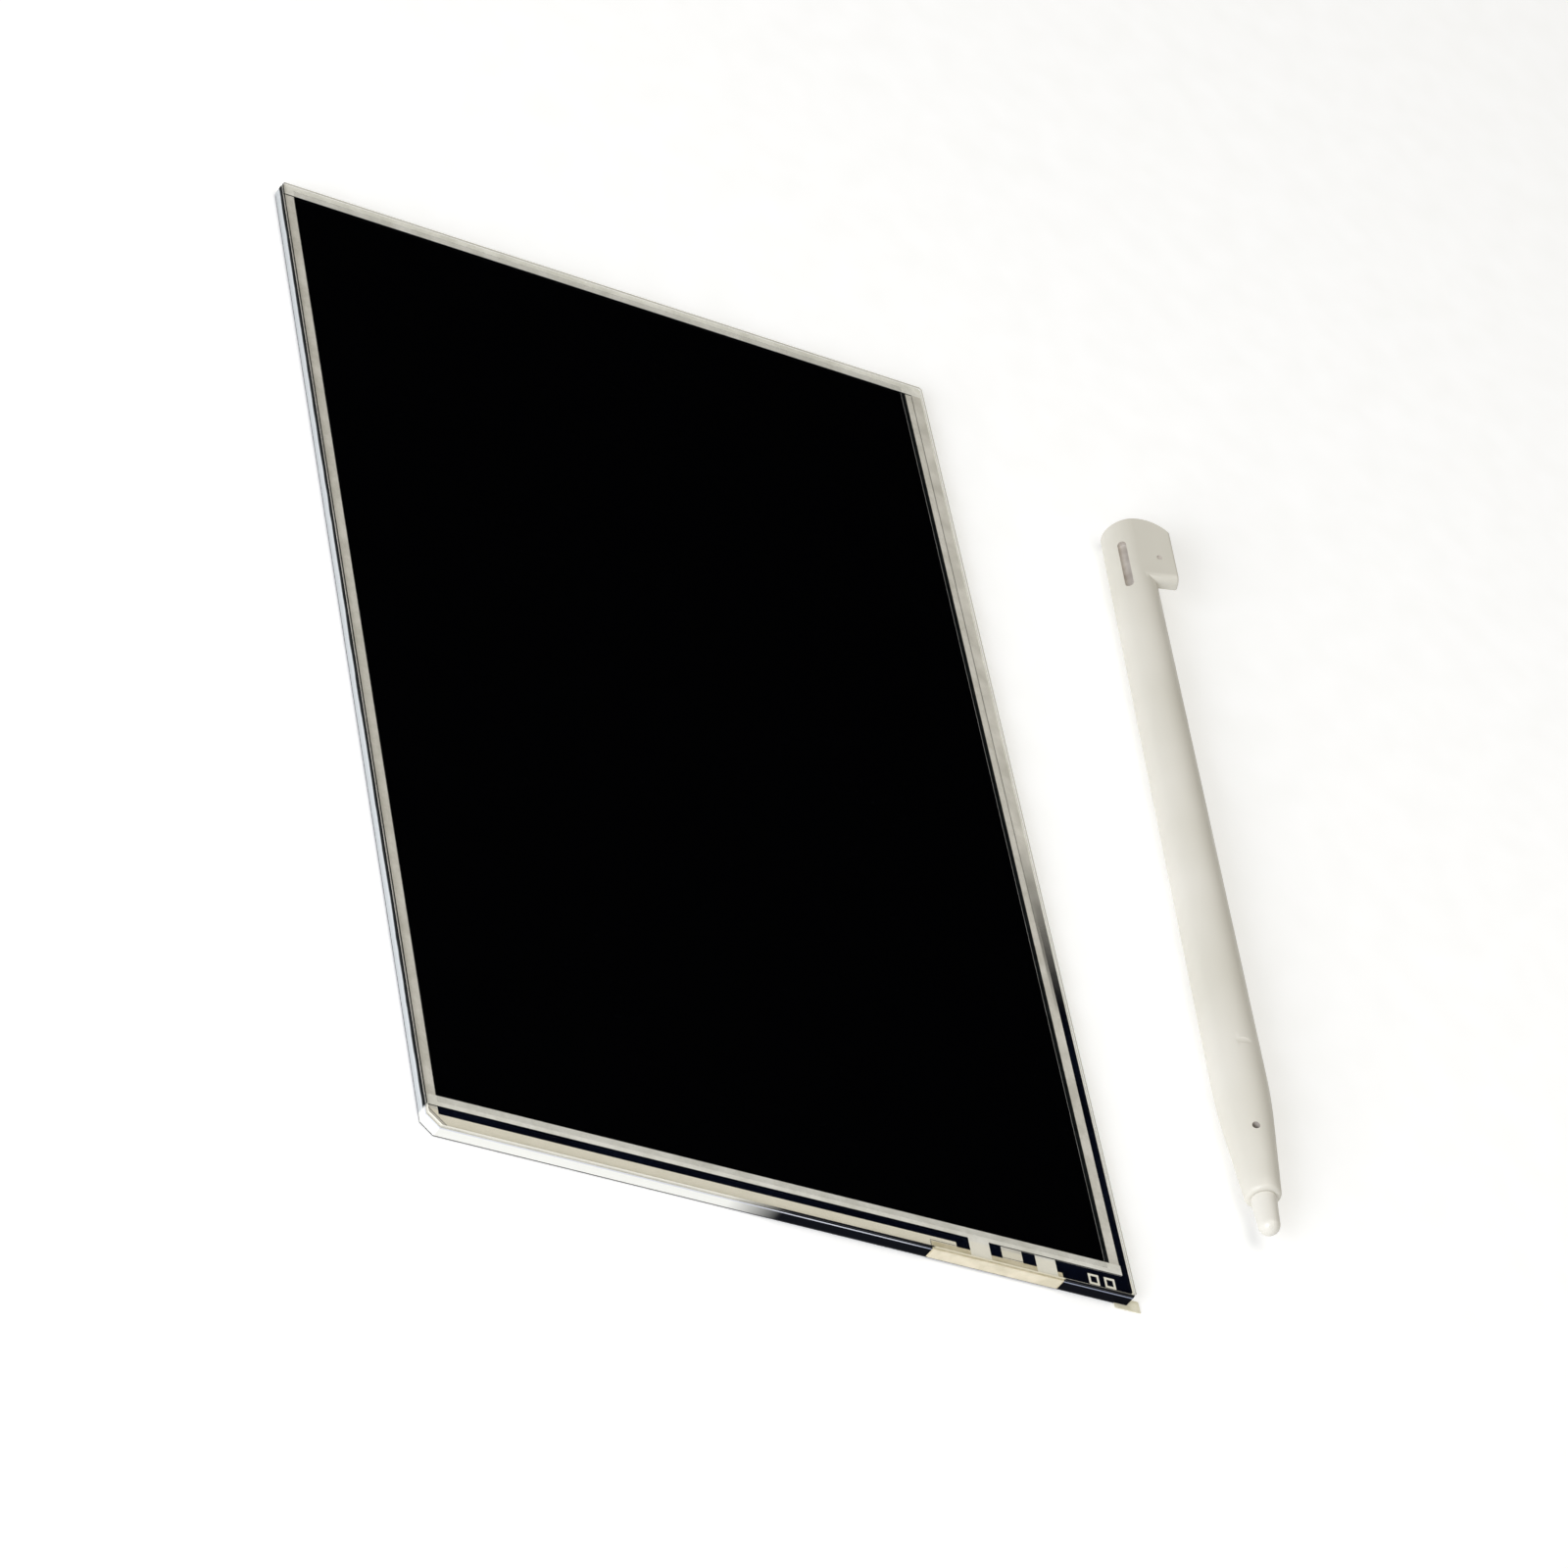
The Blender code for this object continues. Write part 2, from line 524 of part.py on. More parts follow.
def cap_tab_shape():
    """The flat tab beside the cap, level with the barrel's top, with its outer edges rounded."""
    top = barrel_radius(STYLUS_LENGTH - TAB_LENGTH / 2)
    low = Vector((0, STYLUS_LENGTH - TAB_LENGTH, top - TAB_THICKNESS))
    high = Vector((TAB_REACH, STYLUS_LENGTH + TRIM_EXCESS, top))
    shape = bmesh.new()
    bmesh.ops.create_cube(shape, size=1)
    bmesh.ops.scale(shape, vec=high - low, verts=shape.verts)
    bmesh.ops.translate(shape, vec=(high + low) / 2, verts=shape.verts)
    for vert in shape.verts:
        if vert.co.x > TAB_REACH / 2 and vert.co.z < top - TAB_THICKNESS / 2:
            vert.co.x += TAB_DRAFT
    outer = [edge for edge in shape.edges
             if all(vert.co.x > TAB_REACH / 2 for vert in edge.verts)]
    bmesh.ops.bevel(shape, geom=outer, offset=TAB_EDGE_RADIUS, segments=3,
                    profile=0.5, affect="EDGES")
    return shape


def rod_shape(radius, length, sides=24):
    shape = bmesh.new()
    bmesh.ops.create_cone(shape, cap_ends=True, segments=sides, radius1=radius,
                          radius2=radius, depth=length)
    return shape


def slot_shape(length, width, depth, steps=8):
    """A slot with round ends along Y, reaching as far above its own origin as below."""
    reach = (length - width) / 2
    outline = []
    for middle, start in ((reach, 0.0), (-reach, math.pi)):
        for i in range(steps + 1):
            angle = start + math.pi * i / steps
            outline.append((width / 2 * math.cos(angle),
                            middle + width / 2 * math.sin(angle)))
    return sheet_shape(outline, -depth, 2 * depth)


def add_cutter(name, shape, frame, place=Matrix()):
    cutter = add_object(name, shape, None, frame)
    cutter.matrix_local = place
    return cutter


def on_barrel(distance, turn, radius, along=Matrix()):
    """A place on the barrel with +Z pointing outwards, turned from the top towards -X."""
    return (Matrix.Translation((0, distance, 0)) @ Matrix.Rotation(-turn, 4, "Y")
            @ Matrix.Translation((0, 0, radius)) @ along)


def add_stylus_body(frame):
    """Barrel and cap, moulded in one piece around a core that leaves a bore behind the nib."""
    end = STYLUS_LENGTH + TRIM_EXCESS
    body = add_object("stylus_body", turned_shape(
        [(BORE_END_DISTANCE, 0), (BORE_END_DISTANCE, BORE_REAR_RADIUS),
         (NOSE_DISTANCE, BORE_FRONT_RADIUS), (NOSE_DISTANCE, NOSE_RADIUS),
         (SHOULDER_DISTANCE, SHOULDER_RADIUS), (end, REAR_RADIUS), (end, 0)]),
        material("white moulded plastic", "E3E0D6", 0.38), frame)

    cut(body, add_cutter("cap_tab", cap_tab_shape(), frame), "UNION")
    cut(body, add_cutter("cap_dome", cap_dome_shape(), frame,
                         Matrix.Translation((DOME_SIDE, 0, 0))), "INTERSECT")

    slot_distance = STYLUS_LENGTH - NAIL_SLOT_FROM_END
    cut(body, add_cutter("nail_slot", slot_shape(NAIL_SLOT_LENGTH, NAIL_SLOT_WIDTH,
                                                 NAIL_SLOT_DEPTH), frame,
                         on_barrel(slot_distance, NAIL_SLOT_TURN,
                                   barrel_radius(slot_distance))))

    tab_top = barrel_radius(STYLUS_LENGTH - TAB_LENGTH / 2)
    cut(body, add_cutter("tab_dimple", rod_shape(DIMPLE_RADIUS, 2 * DIMPLE_DEPTH, 12), frame,
                         Matrix.Translation((DIMPLE_OUT, STYLUS_LENGTH - DIMPLE_FROM_END,
                                             tab_top))))

    vent_radius = nose_radius(VENT_DISTANCE)
    vent_length = 2 * vent_radius - BORE_FRONT_RADIUS
    cut(body, add_cutter("vent", rod_shape(VENT_RADIUS, vent_length, 16), frame,
                         on_barrel(VENT_DISTANCE, VENT_TURN, vent_radius)))

    nick_radius = barrel_radius(GATE_NICK_DISTANCE)
    lying = Matrix.Rotation(math.pi / 2, 4, "Y")
    cut(body, add_cutter("gate_nick", rod_shape(GATE_NICK_RADIUS, 4 * GATE_NICK_RADIUS, 20),
                         frame, on_barrel(GATE_NICK_DISTANCE, GATE_NICK_TURN,
                                          nick_radius + GATE_NICK_RADIUS - GATE_NICK_DEPTH,
                                          lying)))
    smooth_round_faces(body)


def add_stylus_nib(frame):
    """The writing tip, with a shank that is pressed into the barrel's bore."""
    collar = NOSE_DISTANCE - NIB_CLEARANCE
    shank_end = NOSE_DISTANCE + NIB_SHANK_LENGTH
    shank_radius = bore_radius(shank_end) - NIB_CLEARANCE
    rounded = arc(NIB_END_RADIUS, NIB_END_RADIUS, math.pi, math.pi / 2, 6)[1:]
    nib = add_object("stylus_nib", turned_shape(
        [(0, 0)] + rounded
        + [(collar, NIB_RADIUS), (collar, shank_radius), (shank_end, shank_radius),
           (shank_end, 0)]), material("white moulded plastic", "E3E0D6", 0.38), frame)
    smooth_round_faces(nib)


def main():
    remove_everything()
    add_backing()
    add_glass()
    add_coatings()
    add_glass_bars()
    add_insulator()
    add_spacer_tape()
    add_film_bars()
    add_touch_film()
    add_flexible_lead()
    add_terminals()
    add_alignment_marks()
    frame = stylus_frame()
    add_stylus_body(frame)
    add_stylus_nib(frame)


main()
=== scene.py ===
# %% [markdown]
# A resistive touch panel and the stylus that writes on it
#
# The object is a thin laminate: a black film at the back, a pane of glass, clear
# conductive coatings, bars printed in silver ink, and a clear polyester film on top.
# A slim white stylus lies beside it. The imported CAD model gives every place and size, so the
# first step loads it, and a helper reads the box of each part.

# %% Load the frame
import math

import bmesh
import bpy
from mathutils import Matrix, Vector


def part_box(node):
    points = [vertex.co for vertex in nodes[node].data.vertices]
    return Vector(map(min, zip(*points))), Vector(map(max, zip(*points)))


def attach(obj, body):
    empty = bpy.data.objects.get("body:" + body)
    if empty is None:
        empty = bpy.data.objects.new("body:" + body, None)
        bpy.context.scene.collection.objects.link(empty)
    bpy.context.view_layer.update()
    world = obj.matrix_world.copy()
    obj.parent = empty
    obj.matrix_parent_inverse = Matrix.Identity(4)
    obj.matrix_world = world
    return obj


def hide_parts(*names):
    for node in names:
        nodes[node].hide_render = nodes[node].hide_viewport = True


MM = 0.001

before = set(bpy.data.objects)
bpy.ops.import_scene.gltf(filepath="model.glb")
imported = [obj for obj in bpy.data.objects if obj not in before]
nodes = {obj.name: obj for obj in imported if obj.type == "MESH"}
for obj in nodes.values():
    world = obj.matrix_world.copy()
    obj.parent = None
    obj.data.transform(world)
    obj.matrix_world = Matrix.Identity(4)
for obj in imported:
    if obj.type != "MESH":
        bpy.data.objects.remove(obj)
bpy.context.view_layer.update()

# %% [markdown]
# The camera
#
# A long lens far away keeps the panel's edges nearly parallel. The camera is placed the
# way a photographer would say it: what it looks at, from which side, how steeply down,
# how far off, and how much the camera is tipped over. The tip matters here, because the
# panel stands on one of its corners in the frame.

# %% Camera
LENS = 152.32                       # focal length in mm on a sensor 36 mm wide
LOOKED_AT = Vector((9.52, -2.77, 0)) * MM
AZIMUTH = math.radians(-37.81)
ELEVATION = math.radians(36.59)
TIP = math.radians(40.70)
DISTANCE = 583.7 * MM

towards_camera = Vector((math.sin(AZIMUTH) * math.cos(ELEVATION),
                         -math.cos(AZIMUTH) * math.cos(ELEVATION),
                         math.sin(ELEVATION)))
camera_data = bpy.data.cameras.new("camera")
camera_data.lens = LENS
camera_data.sensor_width = 36
camera_data.clip_start = 0.01
camera = bpy.data.objects.new("camera", camera_data)
bpy.context.scene.collection.objects.link(camera)
level = (-towards_camera).to_track_quat("-Z", "Y").to_matrix().to_4x4()
camera.matrix_world = (Matrix.Translation(LOOKED_AT + DISTANCE * towards_camera)
                       @ level @ Matrix.Rotation(TIP, 4, "Z"))
bpy.context.scene.camera = camera
print("camera at", [round(value / MM, 1) for value in camera.matrix_world.translation])

# %% [markdown]
# Colours
#
# Colours are chosen as sRGB hex values, the way a paint program shows them. Shaders add
# up light, so they need linear values, and one function does the conversion. The view
# transform is set to Standard, so that a white sheet stays white.

# %% Colour helper
def paint(hex_colour):
    """An sRGB hex colour as linear red, green, blue and alpha."""
    channels = [int(hex_colour[i:i + 2], 16) / 255 for i in (0, 2, 4)]
    return (*[c / 12.92 if c <= 0.04045 else ((c + 0.055) / 1.055) ** 2.4
              for c in channels], 1.0)


bpy.context.scene.view_settings.view_transform = "Standard"
print("mid grey is", round(paint("808080")[0], 3), "in linear light")

# %% [markdown]
# Nodes
#
# Every finish is a small tree of nodes. One function adds a node, sets its values and
# joins it to earlier nodes, so that each finish reads as a recipe. A ramp's colours are
# given as pairs of a position and a colour.

# %% Node helper
def add_node(tree, kind, settings=None, links=None):
    """Adds one node. settings are its properties, sockets or ramp, links its inputs."""
    node = tree.nodes.new(kind)
    for name, value in (settings or {}).items():
        if name == "ramp":
            stops = node.color_ramp.elements
            while len(stops) < len(value):
                stops.new(1.0)
            for stop, (position, colour) in zip(stops, value):
                stop.position = position
                stop.color = colour
        elif isinstance(name, int) or name in node.inputs:
            node.inputs[name].default_value = value
        else:
            setattr(node, name, value)
    for name, output in (links or {}).items():
        tree.links.new(output, node.inputs[name])
    return node


def new_finish(name):
    """An empty finish: its material, its tree, and the coordinates it is measured in."""
    finish = bpy.data.materials.new(name)
    finish.use_nodes = True
    finish.node_tree.nodes.clear()
    place = add_node(finish.node_tree, "ShaderNodeTexCoord").outputs["Object"]
    return finish, finish.node_tree, place


def end_finish(tree, shader):
    """Joins a finish's last shader to its output."""
    add_node(tree, "ShaderNodeOutputMaterial", links={"Surface": shader.outputs[0]})


def grey(level):
    """A ramp stop that stands for a number from 0 to 1."""
    return (level, level, level, 1.0)


def per(size_in_mm):
    """The scale at which a texture repeats about once in this many millimetres."""
    return 1 / (size_in_mm * MM)


# %% [markdown]
# Floor, lights and surroundings
#
# The object lies on white card over a light table, which is why the card glows a little
# and the shadows are faint. A large soft lamp at the front left, slightly blue like
# daylight, models the stylus, which has a bright left side and a darker right side. A
# second, warmer one overhead lifts the rest. The panel's face is a mirror for whatever is
# on its far side, so nothing bright stands there and the window stays black: the studio's
# white walls are there for the camera and for soft fill light, and not for reflections.

# %% Floor
card, tree, place = new_finish("white_card_uncoated")
pulp = add_node(tree, "ShaderNodeTexNoise", {"Scale": per(4.0), "Detail": 4.0},
                {"Vector": place})
tone = add_node(tree, "ShaderNodeValToRGB",
                {"ramp": [(0.3, paint("F4F4F2")), (0.7, paint("F8F8F7"))]},
                {"Fac": pulp.outputs["Fac"]})
end_finish(tree, add_node(tree, "ShaderNodeBsdfPrincipled",
                          {"Roughness": 0.9, "Emission Color": paint("FFFFFF"),
                           "Emission Strength": 0.24},
                          {"Base Color": tone.outputs["Color"]}))


def deselect_all():
    """Clears the selection, because an operator acts on all that is selected."""
    for item in bpy.context.selected_objects:
        item.select_set(False)


FLOOR_SIDE, FLOOR_GAP = 6, 0.02 * MM
deselect_all()
bpy.ops.mesh.primitive_plane_add(size=FLOOR_SIDE, location=(0, 0, -FLOOR_GAP))
floor = bpy.context.object
floor.name = "card_floor"
floor.data.materials.append(card)
bpy.ops.object.transform_apply(location=True, rotation=True, scale=True)
print("floor", [round(side, 2) for side in floor.dimensions])

# %% Lights
def add_lamp(name, direction, distance, size, power, colour):
    """A square soft lamp that shines on the object from a direction."""
    lamp_data = bpy.data.lights.new(name, "AREA")
    lamp_data.shape = "SQUARE"
    lamp_data.size = size
    lamp_data.energy = power
    lamp_data.color = paint(colour)[:3]
    lamp = bpy.data.objects.new(name, lamp_data)
    bpy.context.scene.collection.objects.link(lamp)
    towards_lamp = Vector(direction).normalized()
    turn = (-towards_lamp).to_track_quat("-Z", "Y").to_matrix().to_4x4()
    lamp.matrix_world = Matrix.Translation(LOOKED_AT + distance * towards_lamp) @ turn
    print(name, "at", [round(value, 2) for value in lamp.matrix_world.translation])


add_lamp("left_softbox", (-0.75, -0.55, 0.35), 0.9, 0.5, 7.2, "F1F5FF")
add_lamp("overhead_softbox", (-0.05, -0.10, 1.0), 1.1, 0.9, 5.2, "FFFBF2")

# %% Studio walls
WALLS_IN_VIEW, WALLS_AS_FILL = 0.97, 0.28

world = bpy.data.worlds.new("studio")
bpy.context.scene.world = world
world.use_nodes = True
world.node_tree.nodes.clear()
ray = add_node(world.node_tree, "ShaderNodeLightPath")
seen = add_node(world.node_tree, "ShaderNodeMath", {"operation": "MULTIPLY", 1: WALLS_IN_VIEW},
                {0: ray.outputs["Is Camera Ray"]})
strength = add_node(world.node_tree, "ShaderNodeMath",
                    {"operation": "MULTIPLY_ADD", 1: WALLS_AS_FILL},
                    {0: ray.outputs["Is Diffuse Ray"], 2: seen.outputs[0]})
walls = add_node(world.node_tree, "ShaderNodeBackground", {"Color": paint("FFFFFF")},
                 {"Strength": strength.outputs[0]})
add_node(world.node_tree, "ShaderNodeOutputWorld", links={"Surface": walls.outputs[0]})
print("walls:", WALLS_IN_VIEW, "in view,", WALLS_AS_FILL, "as fill light")

# %% [markdown]
# Black vinyl
#
# The window is black because a sheet of black vinyl closes the back. It is calendered,
# that is rolled flat between hot cylinders, which leaves a fine even grain and a satin
# shine. Seen through glass it looks deep black with a touch of blue.

# %% Black calendered vinyl
black_vinyl, tree, place = new_finish("black_calendered_vinyl")
cloud = add_node(tree, "ShaderNodeTexNoise", {"Scale": per(9.0), "Detail": 3.0},
                 {"Vector": place})
colour = add_node(tree, "ShaderNodeValToRGB",
                  {"ramp": [(0.35, paint("030407")), (0.7, paint("07090F"))]},
                  {"Fac": cloud.outputs["Fac"]})
shine = add_node(tree, "ShaderNodeValToRGB",
                 {"ramp": [(0.3, grey(0.24)), (0.7, grey(0.34))]},
                 {"Fac": cloud.outputs["Fac"]})
# The real grain is about 0.1 mm; it is drawn at 0.3 mm so that it shows.
grain = add_node(tree, "ShaderNodeTexNoise", {"Scale": per(0.3), "Detail": 2.0},
                 {"Vector": place})
relief = add_node(tree, "ShaderNodeBump", {"Strength": 0.15, "Distance": 0.004 * MM},
                  {"Height": grain.outputs["Fac"]})
end_finish(tree, add_node(tree, "ShaderNodeBsdfPrincipled", {"IOR": 1.5},
                          {"Base Color": colour.outputs["Color"],
                           "Roughness": shine.outputs["Color"],
                           "Normal": relief.outputs["Normal"]}))

# %% [markdown]
# Clear layers
#
# Glass, polyester, tape and the conductive coating are all seen through. A ray of light
# would bend at each of them, but the layers are so thin and so flat that nothing is seen
# to move, so they are made of a see-through Principled shader: its alpha says how much
# the layer hides, and only the rest shows its own colour. The cut sides are another
# matter. A cut scatters light, so there the layer is close to opaque. The surface normal
# tells the two apart: it points up or down on a face, and sideways on a cut.

# %% Conductive coating and tapes
def clear_layer(name, face_colour, face_alpha, cut_colour, cut_alpha, roughness):
    """A thin clear layer whose flat faces are seen through and whose cut sides aren't."""
    finish, tree, place = new_finish(name)
    facing = add_node(tree, "ShaderNodeSeparateXYZ", links={
        "Vector": add_node(tree, "ShaderNodeNewGeometry").outputs["Normal"]})
    upright = add_node(tree, "ShaderNodeMath", {"operation": "ABSOLUTE"},
                       {0: facing.outputs["Z"]})
    patches = add_node(tree, "ShaderNodeTexNoise", {"Scale": per(5.0), "Detail": 4.0},
                       {"Vector": place})
    face_tone = add_node(tree, "ShaderNodeValToRGB",
                         {"ramp": [(0.35, grey(face_alpha * 0.95)),
                                   (0.65, grey(face_alpha * 1.05))]},
                         {"Fac": patches.outputs["Fac"]})
    colour = add_node(tree, "ShaderNodeValToRGB",
                      {"ramp": [(0.4, paint(cut_colour)), (0.6, paint(face_colour))]},
                      {"Fac": upright.outputs[0]})
    cut = add_node(tree, "ShaderNodeMath", {"operation": "LESS_THAN", 1: 0.5},
                   {0: upright.outputs[0]})
    alpha = add_node(tree, "ShaderNodeMath",
                     {"operation": "MULTIPLY_ADD", 1: cut_alpha},
                     {0: cut.outputs[0], 2: face_tone.outputs["Color"]})
    shine = add_node(tree, "ShaderNodeValToRGB",
                     {"ramp": [(0.3, grey(roughness * 0.95)), (0.7, grey(roughness * 1.05))]},
                     {"Fac": patches.outputs["Fac"]})
    # Joined layers of nearly the same index reflect little light between them.
    end_finish(tree, add_node(tree, "ShaderNodeBsdfPrincipled",
                              {"IOR": 1.5, "Specular IOR Level": 0.1},
                              {"Base Color": colour.outputs["Color"],
                               "Alpha": alpha.outputs[0],
                               "Roughness": shine.outputs["Color"]}))
    return finish


glass_coating = clear_layer("sputtered_indium_tin_oxide_on_glass", "020203", 0.90,
                            "0A0B0C", 0.9, 0.15)
film_coating = clear_layer("sputtered_indium_tin_oxide_on_film", "050607", 0.03,
                           "0A0B0C", 0.6, 0.15)
ring_tape = clear_layer("clear_acrylic_tape", "1A1B1A", 0.03, "151615", 0.9, 0.35)

# %% [markdown]
# Printed silver
#
# The bars are printed through a screen with a paste of silver flakes in resin, then
# baked. The flakes lie every way, so the print is not a mirror: it looks like pale warm
# grey paint with a faint metal sparkle. The screen's threads leave it slightly mottled.
# Along the edge where the lead was pressed hot onto the glass, the resin has cured
# further and turned to a paler cream.

# %% Screen-printed silver
BAR_OUT_OF_HEAT = 1.3 * MM
HOT_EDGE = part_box("bottom_bus_bar")[1].y - BAR_OUT_OF_HEAT
print("silver turns cream below y =", round(HOT_EDGE / MM, 2), "mm")


def silver_print(name, dark, light, cured):
    """Baked silver paste. cured is its colour near the hot-pressed edge."""
    finish, tree, place = new_finish(name)
    flakes = add_node(tree, "ShaderNodeTexNoise", {"Scale": per(0.35), "Detail": 3.0},
                      {"Vector": place})
    blotches = add_node(tree, "ShaderNodeTexNoise", {"Scale": per(2.2), "Detail": 2.0},
                        {"Vector": place})
    mottle = add_node(tree, "ShaderNodeMath", {"operation": "MULTIPLY_ADD", 1: 0.5},
                      {0: flakes.outputs["Fac"], 2: blotches.outputs["Fac"]})
    colour = add_node(tree, "ShaderNodeValToRGB",
                      {"ramp": [(0.55, paint(dark)), (0.95, paint(light))]},
                      {"Fac": mottle.outputs[0]})
    across = add_node(tree, "ShaderNodeSeparateXYZ", links={"Vector": place})
    hot = add_node(tree, "ShaderNodeMapRange",
                   {"From Min": HOT_EDGE, "From Max": HOT_EDGE - 0.2 * MM, "To Max": 0.75},
                   {"Value": across.outputs["Y"]})
    aged = add_node(tree, "ShaderNodeMix", {"data_type": "RGBA", 7: paint(cured)},
                    {0: hot.outputs["Result"], 6: colour.outputs["Color"]})
    shine = add_node(tree, "ShaderNodeValToRGB",
                     {"ramp": [(0.3, grey(0.42)), (0.8, grey(0.60))]},
                     {"Fac": flakes.outputs["Fac"]})
    relief = add_node(tree, "ShaderNodeBump", {"Strength": 0.35, "Distance": 0.01 * MM},
                      {"Height": flakes.outputs["Fac"]})
    end_finish(tree, add_node(tree, "ShaderNodeBsdfPrincipled", {"Metallic": 0.05},
                              {"Base Color": aged.outputs[2],
                               "Roughness": shine.outputs["Color"],
                               "Normal": relief.outputs["Normal"]}))
    return finish


silver_on_glass = silver_print("screen_printed_silver_on_glass", "D6D2C4", "ECE8DC", "F7F0D8")
silver_on_film = silver_print("screen_printed_silver_on_film", "DEDCCF", "F3F1E6", "F6F1DE")

# %% [markdown]
# Insulating ink
#
# Where silver on the glass and silver on the film pass over each other, a dark ink cured
# by ultraviolet light keeps them apart. Beside the window it makes a near-black line.

# %% Ultraviolet-cured insulating ink
insulating_ink, tree, place = new_finish("ultraviolet_cured_insulating_ink")
pinholes = add_node(tree, "ShaderNodeTexNoise", {"Scale": per(0.5), "Detail": 3.0},
                    {"Vector": place})
colour = add_node(tree, "ShaderNodeValToRGB",
                  {"ramp": [(0.35, paint("090C0E")), (0.7, paint("191E20"))]},
                  {"Fac": pinholes.outputs["Fac"]})
shine = add_node(tree, "ShaderNodeValToRGB",
                 {"ramp": [(0.3, grey(0.35)), (0.7, grey(0.5))]},
                 {"Fac": pinholes.outputs["Fac"]})
end_finish(tree, add_node(tree, "ShaderNodeBsdfPrincipled", {"Alpha": 0.93},
                          {"Base Color": colour.outputs["Color"],
                           "Roughness": shine.outputs["Color"]}))

# %% [markdown]
# Finishes that change with the place
#
# Some of the panel's finishes are not the same all over: one margin is pale, one edge is
# dark on its right half, one corner is chamfered more than the others. Object coordinates
# are in metres here, so a Map Range node from one coordinate to another makes a mask that
# is 0 on one side of a line and 1 on the other, and two masks multiplied make a corner.

# %% Masks by place
panel_low, panel_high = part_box("glass_plate")
KEYED_REACH = 1.8 * MM              # from the panel's corner, along X plus along Y


def limits(tree, coordinate, start, end):
    """How far a coordinate has come from start to end, from 0 to 1."""
    return add_node(tree, "ShaderNodeMapRange", {"From Min": start, "From Max": end},
                    {"Value": coordinate}).outputs["Result"]


def times(tree, first, second):
    """A mask where both masks are."""
    return add_node(tree, "ShaderNodeMath", {"operation": "MULTIPLY"},
                    {0: first, 1: second}).outputs[0]


def either(tree, first, second):
    """A mask where one mask or the other is."""
    return add_node(tree, "ShaderNodeMath", {"operation": "MAXIMUM"},
                    {0: first, 1: second}).outputs[0]


def keyed_corner(tree, at):
    """1 beside the panel's one big corner chamfer, and 0 elsewhere."""
    from_corner = add_node(tree, "ShaderNodeMath", {"operation": "ADD"},
                           {0: at.outputs["X"], 1: at.outputs["Y"]})
    inside = panel_low.x + panel_low.y + KEYED_REACH
    return limits(tree, from_corner.outputs[0], inside + 0.3 * MM, inside)


print("the keyed corner is at", [round(side / MM, 2) for side in panel_low.xy], "mm")

# %% [markdown]
# Spacer tape with silvering and painted glare
#
# The ring of tape between film and glass is clear, but air has crept under it in places. Such
# silvering looks pale grey. It fills the right-hand margin from the top to the middle and
# thins out below. Along the left half of the bottom edge and at the chamfered corner the tape
# is painted the same pale grey, and there it is painted glare, where the light blows the edge
# out to white. So the tape's alpha and colour change with the place on the panel. Its cut
# sides are dark outside these places.

# %% Silvered spacer tape and painted glare
SILVERING_THINS, SILVERING_FULL = -23 * MM, -3 * MM     # along Y, in the right margin
LAP_OVER_BAR = 0.3 * MM
LEAD_FOOT = 0.26 * MM               # the silver lead's outer edge, from the panel's
silvering_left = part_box("right_bus_bar")[1].x - LAP_OVER_BAR

silvered_tape_with_glare, tree, place = new_finish("clear_acrylic_tape_with_silvering_and_painted_glare")
at = add_node(tree, "ShaderNodeSeparateXYZ", links={"Vector": place})
silvering_and_glare_patches = add_node(tree, "ShaderNodeTexNoise", {"Scale": per(2.5), "Detail": 4.0},
                 {"Vector": place})
upper_right = times(tree, limits(tree, at.outputs["X"], silvering_left - 0.1 * MM,
                                 silvering_left),
                    limits(tree, at.outputs["Y"], SILVERING_THINS, SILVERING_FULL))
# The pale grey along the left half of the bottom edge and at the keyed corner is painted
# glare, where the edge is blown out to white by the light.
foot = panel_low.y + LEAD_FOOT
glare_lower_left = times(tree, limits(tree, at.outputs["Y"], foot, foot - 0.03 * MM),
                   limits(tree, at.outputs["X"], 0, -6 * MM))
silvering_and_glare = either(tree, upper_right, either(tree, glare_lower_left, keyed_corner(tree, at)))
patchy = add_node(tree, "ShaderNodeMapRange", {"To Min": 0.82, "To Max": 1.05},
                  {"Value": silvering_and_glare_patches.outputs["Fac"]})
facing = add_node(tree, "ShaderNodeSeparateXYZ", links={
    "Vector": add_node(tree, "ShaderNodeNewGeometry").outputs["Normal"]})
upright = add_node(tree, "ShaderNodeMath", {"operation": "ABSOLUTE"},
                   {0: facing.outputs["Z"]})
cut = add_node(tree, "ShaderNodeMath", {"operation": "LESS_THAN", 1: 0.5},
               {0: upright.outputs[0]})
alpha = either(tree, times(tree, silvering_and_glare, patchy.outputs["Result"]), cut.outputs[0])
pale = add_node(tree, "ShaderNodeValToRGB",
                {"ramp": [(0.35, paint("D2CEC1")), (0.65, paint("E4E0D4"))]},
                {"Fac": silvering_and_glare_patches.outputs["Fac"]})
colour = add_node(tree, "ShaderNodeMix", {"data_type": "RGBA", 6: paint("0E1112")},
                  {0: silvering_and_glare, 7: pale.outputs["Color"]})
shine = add_node(tree, "ShaderNodeValToRGB",
                 {"ramp": [(0.3, grey(0.30)), (0.7, grey(0.45))]},
                 {"Fac": silvering_and_glare_patches.outputs["Fac"]})
end_finish(tree, add_node(tree, "ShaderNodeBsdfPrincipled", {"IOR": 1.47},
                          {"Base Color": colour.outputs[2],
                           "Alpha": alpha,
                           "Roughness": shine.outputs["Color"]}))
print("silvering starts right of x =", round(silvering_left / MM, 2), "mm")

# %% [markdown]
# Paper, lead and pads
#
# The release paper is glassine, pressed so hard that it is smooth and a little shiny.
# The flexible lead is a thin cream polyester with copper pads, and its cover film is the
# same stuff with a matt surface. The pads are tinned by dipping, so they are bright with
# soft ripples.

